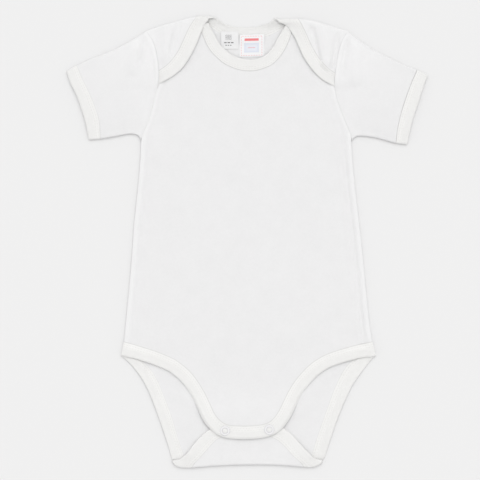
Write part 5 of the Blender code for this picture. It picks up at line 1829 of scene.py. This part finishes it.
class BODYSUIT_OT_stage(bpy.types.Operator):
    """Pale floor, soft light from beyond the neck and a camera straight above"""

    bl_idname = "bodysuit.stage"
    bl_label = "Stage"

    def execute(self, context):
        scene, stage = context.scene, context.scene.bodysuit_stage
        self.floor(scene, stage)
        self.light(scene, stage)
        self.camera(scene, stage)
        scene.view_settings.view_transform = 'Standard'
        return {'FINISHED'}

    def floor(self, scene, stage):
        work = bmesh.new()
        bmesh.ops.create_grid(work, x_segments=8, y_segments=8, size=stage.floor_width / 2)
        bmesh.ops.translate(work, verts=work.verts, vec=(0.0, 0.0, FLOOR_Z * MM))
        mesh = bpy.data.meshes.new("floor")
        work.to_mesh(mesh)
        work.free()
        mesh.materials.append(paper_floor(scene, "pale_floor"))
        floor = bpy.data.objects.new("floor", mesh)
        scene.collection.objects.link(floor)

    def light(self, scene, stage):
        world = bpy.data.worlds.new("studio")
        world.use_nodes = True
        sky = world.node_tree.nodes["Background"].inputs
        sky["Color"].default_value = (1.0, 1.0, 1.0, 1.0)
        sky["Strength"].default_value = stage.sky
        scene.world = world
        light = bpy.data.lights.new("window", 'SUN')
        light.energy = stage.sun
        light.angle = math.radians(WINDOW_SPREAD)
        window = bpy.data.objects.new("window", light)
        window.rotation_euler = Vector(WINDOW_FROM).to_track_quat('Z', 'Y').to_euler()
        scene.collection.objects.link(window)

    def camera(self, scene, stage):
        lens = bpy.data.cameras.new("camera")
        lens.sensor_width = 36.0
        lens.lens = lens.sensor_width * stage.camera_height / stage.view_width
        camera = bpy.data.objects.new("camera", lens)
        camera.location = (*stage.view_centre, stage.camera_height)
        scene.collection.objects.link(camera)
        scene.camera = camera


class VIEW3D_PT_bodysuit(bpy.types.Panel):
    """Settings and steps of the bodysuit"""

    bl_label = "Baby Bodysuit"
    bl_space_type = 'VIEW_3D'
    bl_region_type = 'UI'
    bl_category = "Bodysuit"

    def draw(self, context):
        scene = context.scene
        for group in (scene.bodysuit_sizes, scene.bodysuit_colours, scene.bodysuit_stage):
            box = self.layout.box()
            for setting in group.__annotations__:
                box.prop(group, setting)
        for step in STEPS:
            self.layout.operator(step.bl_idname)


GROUPS = (BodysuitSizes, BodysuitColours, BodysuitStage)
STEPS = (BODYSUIT_OT_stage, BODYSUIT_OT_back_panel, BODYSUIT_OT_front_panel, BODYSUIT_OT_sleeves,
         BODYSUIT_OT_cuffs, BODYSUIT_OT_bindings, BODYSUIT_OT_studs, BODYSUIT_OT_labels)


def register():
    for group in GROUPS + STEPS + (VIEW3D_PT_bodysuit,):
        bpy.utils.register_class(group)
    bpy.types.Scene.bodysuit_sizes = PointerProperty(type=BodysuitSizes)
    bpy.types.Scene.bodysuit_colours = PointerProperty(type=BodysuitColours)
    bpy.types.Scene.bodysuit_stage = PointerProperty(type=BodysuitStage)


def unregister():
    del bpy.types.Scene.bodysuit_stage
    del bpy.types.Scene.bodysuit_colours
    del bpy.types.Scene.bodysuit_sizes
    for group in reversed(GROUPS + STEPS + (VIEW3D_PT_bodysuit,)):
        bpy.utils.unregister_class(group)


def main():
    register()
    for step in STEPS:
        operators, name = step.bl_idname.split(".")
        getattr(getattr(bpy.ops, operators), name)()


if __name__ == "__main__":
    main()
